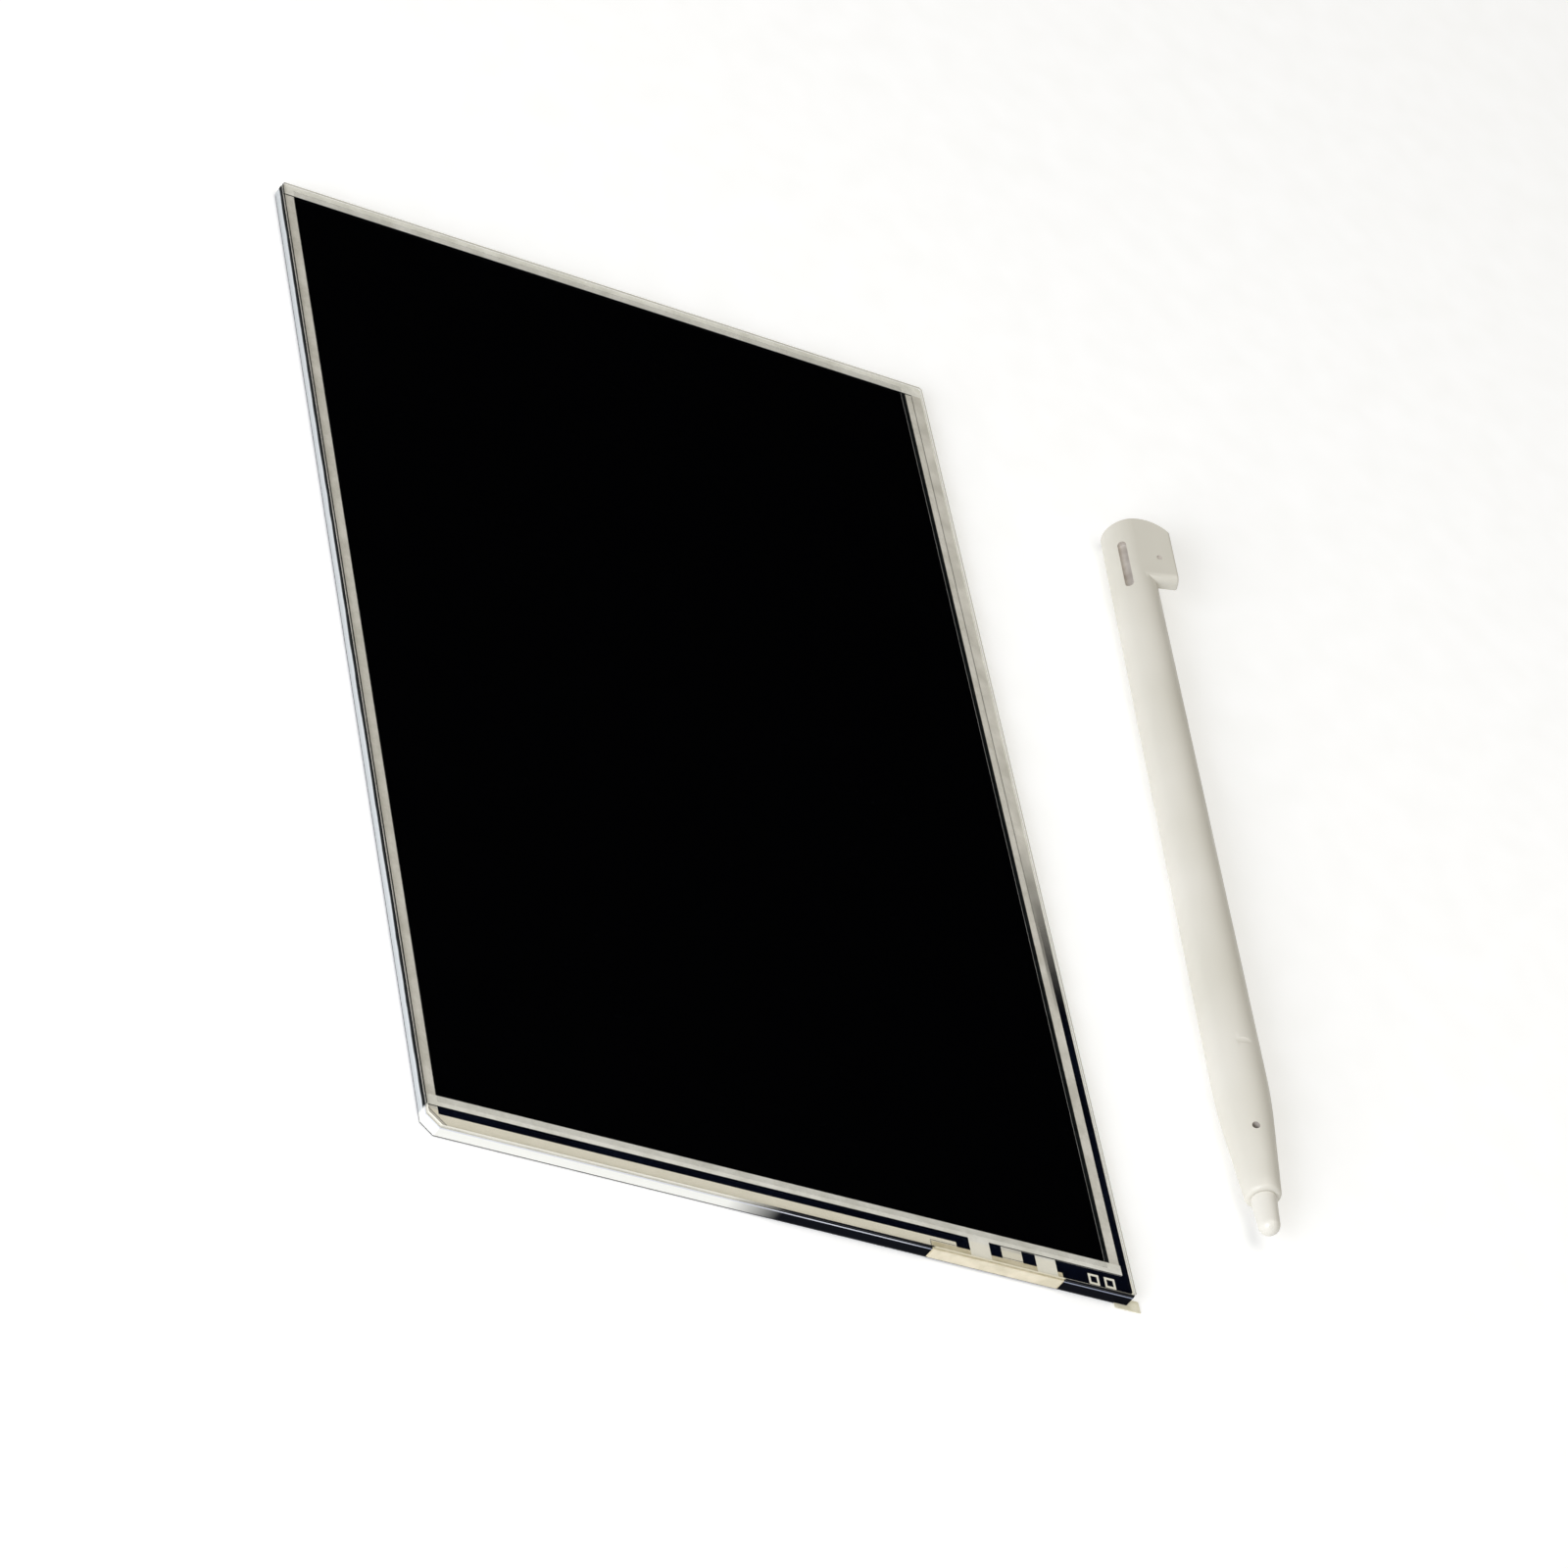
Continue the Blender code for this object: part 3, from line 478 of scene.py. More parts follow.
# %% Paper, flexible lead and tinned pads
def mottled(name, dark, light, patch, relief_depth, roughness, metallic=0.0):
    """An opaque finish with soft patches of two near colours and a fine relief."""
    finish, tree, place = new_finish(name)
    patches = add_node(tree, "ShaderNodeTexNoise", {"Scale": per(patch), "Detail": 4.0},
                       {"Vector": place})
    colour = add_node(tree, "ShaderNodeValToRGB",
                      {"ramp": [(0.35, paint(dark)), (0.65, paint(light))]},
                      {"Fac": patches.outputs["Fac"]})
    shine = add_node(tree, "ShaderNodeValToRGB",
                     {"ramp": [(0.3, grey(roughness - 0.06)), (0.7, grey(roughness + 0.06))]},
                     {"Fac": patches.outputs["Fac"]})
    relief = add_node(tree, "ShaderNodeBump", {"Strength": 0.4,
                                               "Distance": relief_depth * MM},
                      {"Height": patches.outputs["Fac"]})
    end_finish(tree, add_node(tree, "ShaderNodeBsdfPrincipled", {"Metallic": metallic},
                              {"Base Color": colour.outputs["Color"],
                               "Roughness": shine.outputs["Color"],
                               "Normal": relief.outputs["Normal"]}))
    return finish


release_paper = mottled("glassine_release_paper", "D9D3B8", "E9E4CF", 0.6, 0.01, 0.5)
lead_film = mottled("cream_polyester_lead", "C8BD9A", "DACFB2", 0.8, 0.005, 0.42)
lead_cover = mottled("matt_polyester_cover", "CFC6AC", "E2D8C0", 1.2, 0.005, 0.6)
tinned_copper = mottled("hot_dipped_tin_on_copper", "C8C4B4", "E4E0D0", 0.5, 0.01, 0.42, 0.3)

# %% [markdown]
# Glass and cut edges
#
# Black lies behind the whole pane, so its face is as good as opaque: deep black with a touch
# of navy, and polished. The pane is scored along one face and snapped. On the left side the
# lower part of the cut is painted pale grey, a painted reflection of the lamp, and the upper
# part is dark. On the bottom edge the left end is painted pale all the way up, a painted glare
# where the light blows the edge out to white, and from the middle to the right it is dark,
# with a thin pale line along the rim that is a painted highlight. Near that left end the bare
# glass along the bottom of the face, and the keyed corner, are painted pale with the same
# glare. The slit film above it follows the same rhythm, and is pale where the flexible lead's
# glue soaked in.

# %% Float glass face
GLARE_ENDS, DARK_STARTS = -6 * MM, -1 * MM               # along X, on the bottom edge
LEDGE = 0.30 * MM                   # glass that lies bare beside the film

glass_face, tree, place = new_finish("float_glass_over_black")
clouds = add_node(tree, "ShaderNodeTexNoise", {"Scale": per(8.0), "Detail": 4.0},
                  {"Vector": place})
depth = add_node(tree, "ShaderNodeValToRGB",
                 {"ramp": [(0.35, paint("060812")), (0.65, paint("0A0E1B"))]},
                 {"Fac": clouds.outputs["Fac"]})
at = add_node(tree, "ShaderNodeSeparateXYZ", links={"Vector": place})
# Along the bottom of the face, left of the middle, and at the keyed corner, the black glass is
# painted pale: painted glare where the light blows it out to white.
glare_on_ledge = times(tree, limits(tree, at.outputs["Y"], panel_low.y + LEDGE + 0.02 * MM,
                           panel_low.y + LEDGE),
              limits(tree, at.outputs["X"], DARK_STARTS, GLARE_ENDS))
colour = add_node(tree, "ShaderNodeMix", {"data_type": "RGBA", 7: paint("D9D7CB")},
                  {0: either(tree, glare_on_ledge, keyed_corner(tree, at)),
                   6: depth.outputs["Color"]})
shine = add_node(tree, "ShaderNodeValToRGB",
                 {"ramp": [(0.3, grey(0.10)), (0.7, grey(0.12))]},
                 {"Fac": clouds.outputs["Fac"]})
end_finish(tree, add_node(tree, "ShaderNodeBsdfPrincipled",
                          {"IOR": 1.5, "Specular IOR Level": 0.12},
                          {"Base Color": colour.outputs[2],
                           "Roughness": shine.outputs["Color"]}))
print(glass_face.name, "is pale from x =", round(GLARE_ENDS / MM, 1), "mm to the left")

# %% Colours of a cut edge
lead_low, lead_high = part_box("flex_base")
CUT_DEPTH = 0.20 * MM               # what counts as a side, from the panel's outline
RIM_HIGHLIGHT_DEPTH = 0.11 * MM              # depth of the painted highlight line along the rim, below the glass's face
RIM_LIGHT_TO, RIM_DARK_FROM = 0.66, 0.70                # shares of the panel's width


def share(x):
    """A place along the panel's bottom edge as a share of its width."""
    return (x - panel_low.x) / (panel_high.x - panel_low.x)


def edge_colour(tree, at, left, bottom, far_sides):
    """A cut edge's colours: by height on the panel's left side, along X on its bottom
    side, and one colour on the other two."""
    waver = add_node(tree, "ShaderNodeTexNoise", {"Scale": per(3.0), "Detail": 3.0},
                     {"Vector": add_node(tree, "ShaderNodeTexCoord").outputs["Object"]})
    drift = add_node(tree, "ShaderNodeMath", {"operation": "MULTIPLY_ADD", 1: 0.25 * MM},
                     {0: waver.outputs["Fac"], 2: at.outputs["Z"]})
    by_height = add_node(tree, "ShaderNodeValToRGB", {"ramp": left}, {
        "Fac": limits(tree, drift.outputs[0], panel_low.z + 0.12 * MM,
                      panel_high.z + 0.12 * MM)})
    along_x = limits(tree, at.outputs["X"], panel_low.x, panel_high.x)
    along = add_node(tree, "ShaderNodeValToRGB", {"ramp": bottom}, {"Fac": along_x})
    # A thin pale band at the top of the bottom side is a painted highlight along the rim,
    # paler on the left and bluish grey to the right.
    near_rim = limits(tree, at.outputs["Z"], panel_high.z - RIM_HIGHLIGHT_DEPTH - 0.01 * MM,
                      panel_high.z - RIM_HIGHLIGHT_DEPTH)
    below_film = limits(tree, at.outputs["Z"], panel_high.z + 0.03 * MM,
                        panel_high.z + 0.02 * MM)
    rim = add_node(tree, "ShaderNodeValToRGB",
                   {"ramp": [(RIM_LIGHT_TO, paint("C6C8D0")),
                             (RIM_DARK_FROM, paint("8D93A3"))]},
                   {"Fac": along_x})
    rim_highlight = add_node(tree, "ShaderNodeMix", {"data_type": "RGBA"},
                      {0: times(tree, near_rim, below_film), 6: along.outputs["Color"],
                       7: rim.outputs["Color"]})
    bottom_side = limits(tree, at.outputs["Y"], panel_low.y + CUT_DEPTH + 0.01 * MM,
                         panel_low.y + CUT_DEPTH)
    left_side = limits(tree, at.outputs["X"], panel_low.x + CUT_DEPTH + 0.1 * MM,
                       panel_low.x + CUT_DEPTH)
    sides = add_node(tree, "ShaderNodeMix", {"data_type": "RGBA", 6: paint(far_sides)},
                     {0: left_side, 7: by_height.outputs["Color"]})
    on_bottom = either(tree, bottom_side, keyed_corner(tree, at))
    return add_node(tree, "ShaderNodeMix", {"data_type": "RGBA"},
                    {0: on_bottom, 6: sides.outputs[2], 7: rim_highlight.outputs[2]}).outputs[2]


print("the lead leaves the edge at", round(share(lead_low.x), 2), "to",
      round(share(lead_high.x), 2), "of the width")

# %% Snapped glass edge and slit film edge
def edge_finish(name, left, bottom, far_sides, relief_depth):
    """A rough cut edge with the colours that edge_colour gives it."""
    finish, tree, place = new_finish(name)
    at = add_node(tree, "ShaderNodeSeparateXYZ", links={"Vector": place})
    hackles = add_node(tree, "ShaderNodeTexNoise", {"Scale": per(0.12), "Detail": 3.0},
                       {"Vector": place})
    shine = add_node(tree, "ShaderNodeValToRGB",
                     {"ramp": [(0.3, grey(0.38)), (0.7, grey(0.55))]},
                     {"Fac": hackles.outputs["Fac"]})
    relief = add_node(tree, "ShaderNodeBump", {"Strength": 0.5,
                                               "Distance": relief_depth * MM},
                      {"Height": hackles.outputs["Fac"]})
    end_finish(tree, add_node(tree, "ShaderNodeBsdfPrincipled",
                              {"IOR": 1.52, "Specular IOR Level": 0.02},
                              {"Base Color": edge_colour(tree, at, left, bottom, far_sides),
                               "Roughness": shine.outputs["Color"],
                               "Normal": relief.outputs["Normal"]}))
    return finish


# On the left side the pale lower part of the ramp is a painted reflection of the lamp, and on
# the bottom the pale left end is painted glare.
snapped_edge = edge_finish(
    "scored_and_snapped_glass_edge",
    [(0.0, paint("B4B7B7")), (0.60, paint("C6C9C9")), (0.74, paint("1B1E1E")),
     (1.0, paint("0C0E0F"))],
    [(share(GLARE_ENDS), paint("E4E3DC")), (share(DARK_STARTS), paint("04060E"))],
    "C2C3BE", 0.02)
# On the bottom the film's pale left end is the same painted glare.
slit_edge = edge_finish(
    "slit_polyester_edge", [(0.0, paint("1B1E1E")), (1.0, paint("121515"))],
    [(share(GLARE_ENDS), paint("D9D6C8")), (share(DARK_STARTS), paint("04060E")),
     (share(lead_low.x), paint("04060E")), (share(lead_low.x + 0.1 * MM), paint("CFC8B0")),
     (share(lead_high.x - 0.1 * MM), paint("CFC8B0")), (share(lead_high.x), paint("04060E"))],
    "C6C3B6", 0.01)
film_face = clear_layer("hard_coated_polyester", "060707", 0.03, "101111", 0.5, 0.14)
print("edge finishes:", snapped_edge.name, "and", slit_edge.name)

# %% [markdown]
# Moulded plastic
#
# The stylus is white polystyrene, moulded in one shot. The mould's skin is satin, and
# handling has polished it unevenly and left fine scuffs that run along the barrel. The
# colour is a warm white that drifts a little, as such plastics do when they age.

# %% White moulded plastic
def moulded_plastic(name, dark, light, roughness):
    """Satin plastic with scuffs along Y. roughness is that of its smoother places."""
    finish, tree, place = new_finish(name)
    drift = add_node(tree, "ShaderNodeTexNoise", {"Scale": per(14.0), "Detail": 2.0},
                     {"Vector": place})
    colour = add_node(tree, "ShaderNodeValToRGB",
                      {"ramp": [(0.35, paint(dark)), (0.65, paint(light))]},
                      {"Fac": drift.outputs["Fac"]})
    drawn_out = add_node(tree, "ShaderNodeMapping", {"Scale": (1.0, 0.06, 1.0)},
                         {"Vector": place})
    scuffs = add_node(tree, "ShaderNodeTexNoise", {"Scale": per(0.35), "Detail": 4.0},
                      {"Vector": drawn_out.outputs["Vector"]})
    shine = add_node(tree, "ShaderNodeValToRGB",
                     {"ramp": [(0.35, grey(roughness - 0.07)),
                               (0.75, grey(roughness + 0.10))]},
                     {"Fac": scuffs.outputs["Fac"]})
    skin = add_node(tree, "ShaderNodeTexNoise", {"Scale": per(0.6), "Detail": 3.0},
                    {"Vector": place})
    relief = add_node(tree, "ShaderNodeBump", {"Strength": 0.12, "Distance": 0.01 * MM},
                      {"Height": skin.outputs["Fac"]})
    end_finish(tree, add_node(tree, "ShaderNodeBsdfPrincipled", {"IOR": 1.55},
                              {"Base Color": colour.outputs["Color"],
                               "Roughness": shine.outputs["Color"],
                               "Normal": relief.outputs["Normal"]}))
    return finish


polystyrene = moulded_plastic("white_moulded_polystyrene", "D2CEC1", "DCD8CD", 0.42)
acetal = moulded_plastic("white_moulded_acetal", "DAD6CA", "E2DFD6", 0.34)
print("stylus finishes:", polystyrene.name, "and", acetal.name)

# %% [markdown]
# Modelling by hand, in code
#
# The finer pieces are modelled with the same operators as in Blender's window. An
# operator works on whatever is selected, so each step first clears the selection, then
# picks faces or edges by their place.

# %% Selection helpers
def begin(name):
    """Names the primitive that was just added and puts its size and turn in its mesh."""
    piece = bpy.context.object
    piece.name = name
    bpy.ops.object.transform_apply(location=True, rotation=True, scale=True)
    bpy.ops.object.mode_set(mode="EDIT")
    return piece


def pick(piece, kind, test):
    """In edit mode, selects only the edges or faces that pass a test."""
    bpy.ops.mesh.select_mode(type=kind)
    bpy.ops.mesh.select_all(action="DESELECT")
    shape = bmesh.from_edit_mesh(piece.data)
    for item in shape.edges if kind == "EDGE" else shape.faces:
        if test(item):
            item.select_set(True)
    bmesh.update_edit_mesh(piece.data)


def in_stack(piece, body, slot, *replaced):
    """Says what a finished piece moves with and what it replaces; its slot is not used."""
    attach(piece, body)
    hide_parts(*replaced)
    size = [round(side / MM, 2) for side in piece.dimensions]
    print(piece.name, size, "mm,", len(piece.data.polygons), "faces")


# %% [markdown]
# Glass pane and top film
#
# Both are flat sheets with their corners cut off, one corner more than the others. Each
# starts as a cube stretched to the sheet's size. Its upright edges are bevelled into the
# corners, then the rims are bevelled a little, because a broken or slit edge is never
# sharp. The sides get their own finish.

# %% Glass and film
CORNER = 0.2 * MM
KEYED_CORNER = 1.1 * MM


def add_pane(name, node, rim, face, edge, slot):
    """A sheet that fills a CAD node's box, with cut corners and softened rims."""
    low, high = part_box(node)
    deselect_all()
    bpy.ops.mesh.primitive_cube_add(size=1, location=(low + high) / 2, scale=high - low)
    piece = begin(name)

    def is_corner(line, keyed):
        a, b = (corner.co for corner in line.verts)
        at_keyed = a.x < 0 and a.y < 0
        return (a.xy - b.xy).length < 1e-6 and at_keyed == keyed

    for keyed, offset in ((True, KEYED_CORNER), (False, CORNER)):
        pick(piece, "EDGE", lambda line: is_corner(line, keyed))
        bpy.ops.mesh.bevel(offset=offset, segments=1, affect="EDGES")
    pick(piece, "EDGE", lambda line: abs(line.verts[0].co.z - line.verts[1].co.z) < 1e-7)
    bpy.ops.mesh.bevel(offset=rim, segments=2, affect="EDGES")
    piece.data.materials.append(face)
    piece.data.materials.append(edge)
    pick(piece, "FACE", lambda side: abs(side.normal.z) < 0.9)
    piece.active_material_index = 1
    bpy.ops.object.material_slot_assign()
    bpy.ops.object.mode_set(mode="OBJECT")
    in_stack(piece, "panel", slot, node)


add_pane("glass_pane", "glass_plate", 0.05 * MM, glass_face, snapped_edge, "glass")
add_pane("clear_top_film", "touch_film", 0.02 * MM, film_face, slit_edge, "polyester_film")

# %% [markdown]
# Finishes of the other layers
#
# The remaining layers are flat prints and films whose CAD shapes are already right, so
# they stay and only get their finish. Silver printed on the glass is seen through more
# layers than silver printed on the film, so the two are kept apart.

# %% Finishes on the CAD nodes
FINISHES = {
    black_vinyl: ["backing_film"],
    ring_tape: ["backing_adhesive"],
    silvered_tape_with_glare: ["spacer_tape"],
    release_paper: ["backing_release_tab"],
    glass_coating: ["glass_coating"],
    film_coating: ["film_coating"],
    silver_on_glass: ["left_bus_bar", "right_bus_bar"],
    silver_on_film: ["bottom_bus_bar", "top_bus_bar",
                     "alignment_mark_left", "alignment_mark_right"],
    insulating_ink: ["insulating_print"],
    lead_film: ["flex_base"],
    lead_cover: ["flex_coverlay"],
    tinned_copper: ["terminal_1", "terminal_2", "terminal_3", "terminal_4"],
}
for finish, names in FINISHES.items():
    for name in names:
        for material_slot in nodes[name].material_slots:
            material_slot.material = finish
    print(finish.name, "on", ", ".join(names))

# %% [markdown]
# Stylus: one turned shape
#
# The barrel is round all along, so it can grow ring by ring: a disc is added at one end,
# and its face is extruded along the barrel and resized again and again. It starts at the
# bottom of the bore that the mould's core leaves, comes forward to the nose, turns over
# the rim and goes back along the outside to the end of the cap. Distances are
# measured from the writing tip, along Y, and the place on the floor comes last.

# %% Stylus sizes
STYLUS_LENGTH = 85.55
NOSE, NOSE_RADIUS = 3.9, 1.64
NOSE_RIM = 0.34                     # how far the nose's rounded rim reaches
SHOULDER, SHOULDER_RADIUS = 14.55, 2.53
REAR_RADIUS = 2.20
BORE_END, BORE_REAR_RADIUS, BORE_FRONT_RADIUS = 73.5, 0.80, 0.90
DOME_RADIUS, DOME_SIDE = 4.4, 0.8
TRIM_EXCESS = 1.0                   # how far a solid reaches past the dome that trims it
SHOULDER_REACH = 2.6                # how far the soft shoulder reaches to either side
ROUND_SIDES = 64


def between(distance, start, end):
    """The radius on a straight line between two (distance, radius) pairs."""
    share = (distance - start[0]) / (end[0] - start[0])
    return start[1] + (end[1] - start[1]) * share


def barrel_radius(distance):
    """The outside radius from the shoulder to the end of the cap."""
    return between(distance, (SHOULDER, SHOULDER_RADIUS), (STYLUS_LENGTH, REAR_RADIUS))


def nose_radius(distance):
    """The outside radius from the nose to the shoulder."""
    return between(distance, (NOSE, NOSE_RADIUS), (SHOULDER, SHOULDER_RADIUS))


def soft_shoulder(steps=6):
    """A smooth curve from the tapered nose to the barrel, which touches both lines."""
    first = (SHOULDER - SHOULDER_REACH, nose_radius(SHOULDER - SHOULDER_REACH))
    last = (SHOULDER + SHOULDER_REACH, barrel_radius(SHOULDER + SHOULDER_REACH))
    middle = (SHOULDER, SHOULDER_RADIUS)
    return [tuple((1 - t) ** 2 * a + 2 * t * (1 - t) * b + t * t * c
                  for a, b, c in zip(first, middle, last))
            for t in (i / steps for i in range(steps + 1))]


def dome(steps=24):
    """Rings of the half ball that ends the cap, from its widest ring to its middle."""
    middle = STYLUS_LENGTH - DOME_RADIUS
    turns = [math.pi / 2 * (1 - i / steps) for i in range(steps)]
    return [(middle + DOME_RADIUS * math.cos(turn), DOME_RADIUS * math.sin(turn))
            for turn in turns] + [(STYLUS_LENGTH, 0.03)]


def rings_between(start, end, radius):
    """Rings a millimetre apart, so that a recess disturbs only the shading beside it."""
    return [(start + i, radius(start + i)) for i in range(1, int(end - start))]


print("past the shoulder the barrel is",
      round(barrel_radius(SHOULDER + SHOULDER_REACH), 3), "mm in radius")


# %% Growing a turned shape
def grow_rings(name, rings):
    """A solid turned round the Y axis, from its (distance, radius) rings in millimetres."""
    deselect_all()
    bpy.ops.mesh.primitive_circle_add(
        vertices=ROUND_SIDES, radius=rings[0][1] * MM, fill_type="NGON",
        location=(0, rings[0][0] * MM, 0), rotation=(math.pi / 2, 0, 0))
    piece = begin(name)
    bpy.ops.mesh.select_mode(type="FACE")
    bpy.ops.mesh.select_all(action="SELECT")
    for (last, last_radius), (distance, radius) in zip(rings, rings[1:]):
        bpy.ops.mesh.extrude_region_move(
            TRANSFORM_OT_translate={"value": (0, (distance - last) * MM, 0)})
        growth = radius / last_radius
        bpy.ops.transform.resize(value=(growth, 1, growth),
                                 center_override=(0, distance * MM, 0))
    bpy.ops.mesh.select_all(action="SELECT")
    bpy.ops.mesh.normals_make_consistent(inside=False)
    bpy.ops.object.mode_set(mode="OBJECT")
    print(name, "has", len(piece.data.polygons), "faces,",
          [round(side / MM, 3) for side in piece.dimensions], "mm")
    return piece


barrel = grow_rings("stylus_barrel", [
    (BORE_END, BORE_REAR_RADIUS), (NOSE, BORE_FRONT_RADIUS), (NOSE, NOSE_RADIUS - NOSE_RIM),
    (NOSE + 0.04, NOSE_RADIUS - 0.18), (NOSE + 0.15, NOSE_RADIUS - 0.06),
    (NOSE + NOSE_RIM, nose_radius(NOSE + NOSE_RIM)),
    *rings_between(NOSE + NOSE_RIM, SHOULDER - SHOULDER_REACH, nose_radius),
    *soft_shoulder(),
    *rings_between(SHOULDER + SHOULDER_REACH, STYLUS_LENGTH, barrel_radius),
    (STYLUS_LENGTH + TRIM_EXCESS, REAR_RADIUS)])
barrel.data.materials.append(polystyrene)

# %% [markdown]
# Cap tab
#
# Beside the cap a flat tab stands out, level with the top of the barrel. It stops the
# stylus at the end of its holder and gives the thumb something to pull. It is a bevelled
# cube: the outer edges get a small radius, and the edge nearest the tip a bigger one,
# which makes the rounded lip that catches the light. Barrel and tab are joined, and the
# result is crossed with one long domed solid, whose middle is halfway across the cap, so
# that barrel and tab end in a single arc.

# %% Tab
TAB_REACH, TAB_THICKNESS, TAB_LENGTH, TAB_DRAFT = 3.8, 1.45, 8.2, 0.25
TAB_LIP, TAB_EDGE_RADIUS = 0.75, 0.22
TAB_TOP = barrel_radius(STYLUS_LENGTH - TAB_LENGTH / 2)


def apply_boolean(piece, tool, operation):
    """Joins, cuts or crosses a piece with a tool, and clears the tool away."""
    change = piece.modifiers.new(operation.lower(), "BOOLEAN")
    change.operation = operation
    change.solver = "EXACT"
    change.material_mode = "TRANSFER"
    change.object = tool
    deselect_all()
    bpy.context.view_layer.objects.active = piece
    piece.select_set(True)
    bpy.ops.object.modifier_apply(modifier=change.name)
    bpy.data.objects.remove(tool)


deselect_all()
bpy.ops.mesh.primitive_cube_add(
    size=1, scale=(TAB_REACH * MM, (TAB_LENGTH + TRIM_EXCESS) * MM, TAB_THICKNESS * MM),
    location=(TAB_REACH / 2 * MM,
              (STYLUS_LENGTH + TRIM_EXCESS / 2 - TAB_LENGTH / 2) * MM,
              (TAB_TOP - TAB_THICKNESS / 2) * MM))
tab = begin("cap_tab")
pick(tab, "EDGE", lambda line: all(
    corner.co.x > (TAB_REACH - 0.1) * MM and corner.co.z < (TAB_TOP - 0.1) * MM
    for corner in line.verts))
bpy.ops.transform.translate(value=(TAB_DRAFT * MM, 0, 0))
front = (STYLUS_LENGTH - TAB_LENGTH) * MM
pick(tab, "EDGE", lambda line: all(
    corner.co.z > (TAB_TOP - 0.1) * MM and corner.co.y < front + 0.1 * MM
    for corner in line.verts))
bpy.ops.mesh.bevel(offset=TAB_LIP * MM, segments=6, affect="EDGES")
pick(tab, "EDGE", lambda line: all(corner.co.x > (TAB_REACH - 0.1) * MM
                                   for corner in line.verts)
     and len(line.link_faces) == 2 and line.calc_face_angle() > math.radians(40))
bpy.ops.mesh.bevel(offset=TAB_EDGE_RADIUS * MM, segments=3, affect="EDGES")
bpy.ops.object.mode_set(mode="OBJECT")
tab.data.materials.append(polystyrene)
apply_boolean(barrel, tab, "UNION")
cap_dome = grow_rings("cap_dome", [(0.0, DOME_RADIUS), *dome()])
cap_dome.data.materials.append(polystyrene)
cap_dome.matrix_world = Matrix.Translation((DOME_SIDE * MM, 0, 0))
apply_boolean(barrel, cap_dome, "INTERSECT")
print("barrel with tab:", len(barrel.data.polygons), "faces")

# %% [markdown]
# Slot, vent, nick and dimple
#
# Four small recesses finish the stylus. A fingernail slot runs along the cap. A vent lets air
# out of the bore when the nib is pressed in. A shallow nick is left where the molten plastic
# came in, and an ejector pin left a dimple in the tab. Each is cut with a tool of its own, a
# bar with round ends or a short rod. The cut faces take the tool's finish, and so the deeper
# recesses are lined with a darker finish: painted shade, together with the grime that hands
# leave in them.

# %% Cutting tools
# The darker lining of the recesses is painted shade, together with the grime that hands leave
# in them.
recess_shade_and_grime = mottled("painted_shade_and_grime_in_recesses", "B0A79C", "C6BFB5", 1.6, 0.005, 0.6)


def on_barrel(distance, turn, radius):
    """A place on the barrel, turned from its top towards -X, with +Z pointing outwards."""
    return (Matrix.Translation((0, distance * MM, 0)) @ Matrix.Rotation(-turn, 4, "Y")
            @ Matrix.Translation((0, 0, radius * MM)))


def rod(radius, length, place):
    """A round cutting tool whose ends have a small inner disc."""
    deselect_all()
    bpy.ops.mesh.primitive_cylinder_add(vertices=24, radius=radius * MM,
                                        depth=length * MM)
    tool = begin("tool")
    pick(tool, "FACE", lambda side: abs(side.normal.z) > 0.9)
    bpy.ops.mesh.inset(thickness=radius * MM * 0.2)
    bpy.ops.object.mode_set(mode="OBJECT")
    tool.matrix_world = place
    return tool


def slot_tool(length, width, depth, place):
    """A bar with round ends, for cutting a slot along the barrel."""
    deselect_all()
    bpy.ops.mesh.primitive_cube_add(size=1, scale=(width * MM, length * MM, 2 * depth * MM))
    tool = begin("tool")
    pick(tool, "EDGE", lambda line: abs(line.verts[0].co.z - line.verts[1].co.z) > depth * MM)
    bpy.ops.mesh.bevel(offset=width * 0.49 * MM, segments=8, affect="EDGES")
    pick(tool, "EDGE", lambda line: all(corner.co.z < -0.9 * depth * MM
                                        for corner in line.verts))
    bpy.ops.mesh.bevel(offset=0.12 * MM, segments=3, affect="EDGES")
    bpy.ops.object.mode_set(mode="OBJECT")
    tool.matrix_world = place
    return tool


print("the cuts are lined with", recess_shade_and_grime.name)

# %% Cutting the recesses
SLOT_LENGTH, SLOT_WIDTH, SLOT_DEPTH, SLOT_TURN = 5.8, 0.85, 0.55, math.radians(35)
SLOT_AT = STYLUS_LENGTH - 6.5
VENT_AT, VENT_RADIUS, VENT_TURN = 10.45, 0.36, math.radians(8)
NICK_AT, NICK_RADIUS, NICK_DEPTH, NICK_TURN = 19.95, 0.60, 0.12, math.radians(-2)
DIMPLE_AT, DIMPLE_OUT = STYLUS_LENGTH - 5.5, 2.2
DIMPLE_RADIUS, DIMPLE_DEPTH = 0.28, 0.12
VENT_DEPTH = nose_radius(VENT_AT) - BORE_FRONT_RADIUS / 2
lying = Matrix.Rotation(math.pi / 2, 4, "Y")
recesses = [
    slot_tool(SLOT_LENGTH, SLOT_WIDTH, SLOT_DEPTH,
              on_barrel(SLOT_AT, SLOT_TURN, barrel_radius(SLOT_AT))),
    rod(VENT_RADIUS, 2 * VENT_DEPTH, on_barrel(VENT_AT, VENT_TURN, nose_radius(VENT_AT))),
    rod(NICK_RADIUS, 4 * NICK_RADIUS,
        on_barrel(NICK_AT, NICK_TURN, barrel_radius(NICK_AT) + NICK_RADIUS - NICK_DEPTH)
        @ lying),
    rod(DIMPLE_RADIUS, 2 * DIMPLE_DEPTH,
        Matrix.Translation(Vector((DIMPLE_OUT, DIMPLE_AT, TAB_TOP)) * MM)),
]
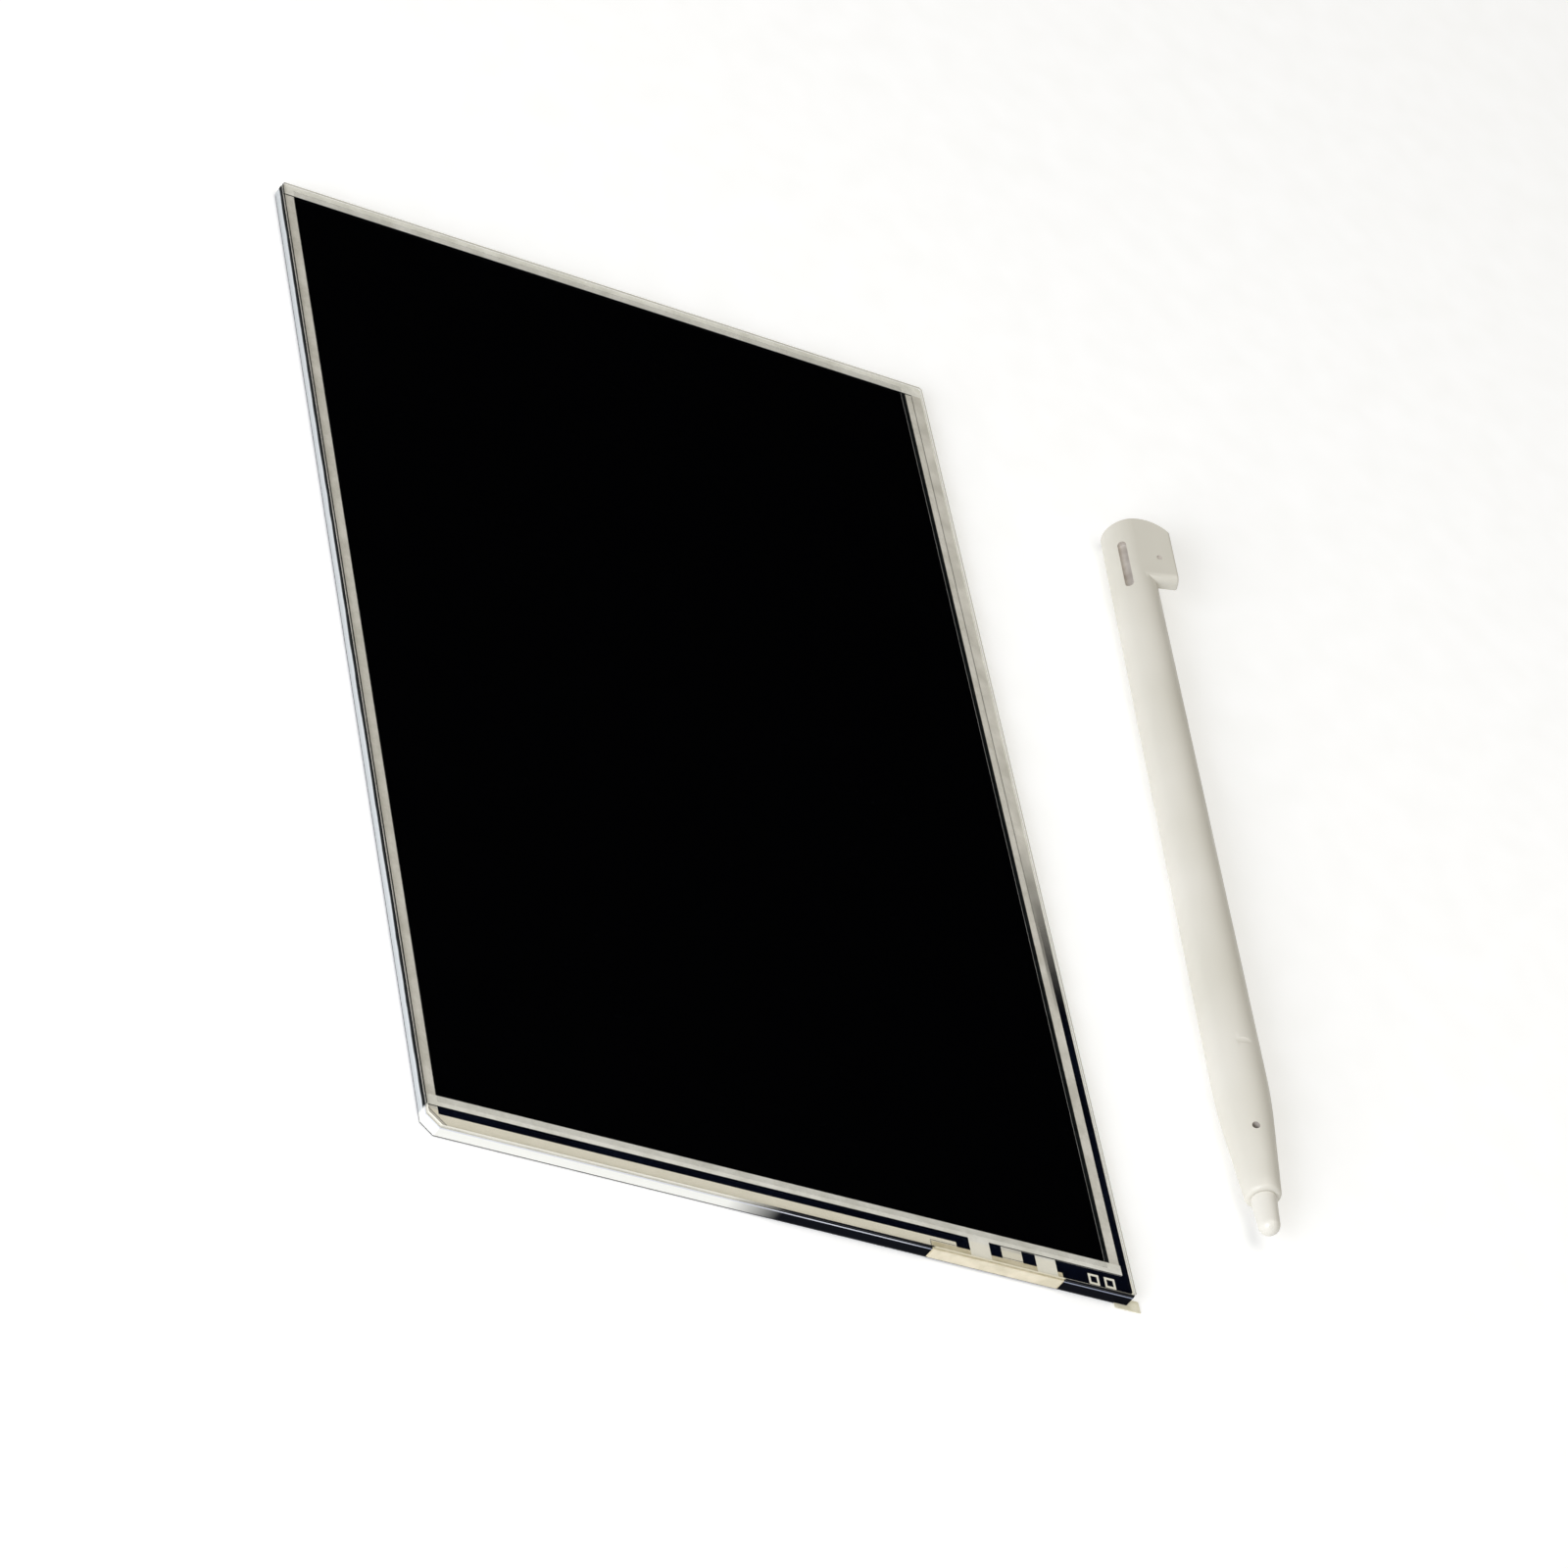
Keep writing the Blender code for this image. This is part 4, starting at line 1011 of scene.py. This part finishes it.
NICK = 2                            # its place in the list; it is too shallow for the painted shade and grime
for number, tool in enumerate(recesses):
    tool.data.materials.append(polystyrene if number == NICK else recess_shade_and_grime)
    apply_boolean(barrel, tool, "DIFFERENCE")
print("barrel with recesses:", len(barrel.data.polygons), "faces")

# %% [markdown]
# Nib
#
# The writing tip is a separate moulding of acetal, which slides well on the film. It is
# pushed into the bore by its shank, and only its rounded end shows.

# %% Nib
NIB_RADIUS, NIB_END_RADIUS, NIB_SHANK, CLEARANCE = 1.18, 1.00, 5.0, 0.03
collar = NOSE - CLEARANCE
shank_end = NOSE + NIB_SHANK
shank_radius = between(shank_end, (NOSE, BORE_FRONT_RADIUS),
                       (BORE_END, BORE_REAR_RADIUS)) - CLEARANCE
round_end = [(NIB_END_RADIUS * (1 - math.cos(angle)), NIB_END_RADIUS * math.sin(angle))
             for angle in (math.pi / 2 * (1 - i / 10) for i in range(10))]
nib = grow_rings("stylus_writing_nib", [
    (shank_end, shank_radius - 0.1), (shank_end - 0.15, shank_radius),
    (collar, shank_radius), (collar, NIB_RADIUS - 0.06), (collar - 0.06, NIB_RADIUS),
    *round_end, (0.0, 0.03)])

# %% [markdown]
# Laying the stylus down
#
# The barrel tapers, so it lies at a small angle: its thin end is lower in the air than
# its shoulder. It also points slightly off the panel's long side and is rolled so that
# the tab is raised. The move is put into the meshes, because a finished piece's object
# stays at the origin.

# %% Placing the stylus
TIP_X, TIP_Y = 50.77, -43.55
HEADING, ROLL = math.radians(-2.85), math.radians(-15)
taper = math.atan2(SHOULDER_RADIUS - REAR_RADIUS, STYLUS_LENGTH - SHOULDER)
tip_height = SHOULDER_RADIUS * math.cos(taper) + SHOULDER * math.sin(taper)
lay_down = (Matrix.Translation(Vector((TIP_X, TIP_Y, tip_height)) * MM)
            @ Matrix.Rotation(HEADING, 4, "Z") @ Matrix.Rotation(-taper, 4, "X")
            @ Matrix.Rotation(ROLL, 4, "Y"))
nib.data.materials.append(acetal)
for piece, node in ((barrel, "stylus_body"), (nib, "stylus_nib")):
    deselect_all()
    bpy.context.view_layer.objects.active = piece
    piece.select_set(True)
    piece.matrix_world = lay_down
    bpy.ops.object.transform_apply(location=True, rotation=True, scale=True)
    bpy.ops.object.shade_smooth_by_angle(angle=math.radians(35))
    in_stack(piece, "stylus", "white_plastic", node)
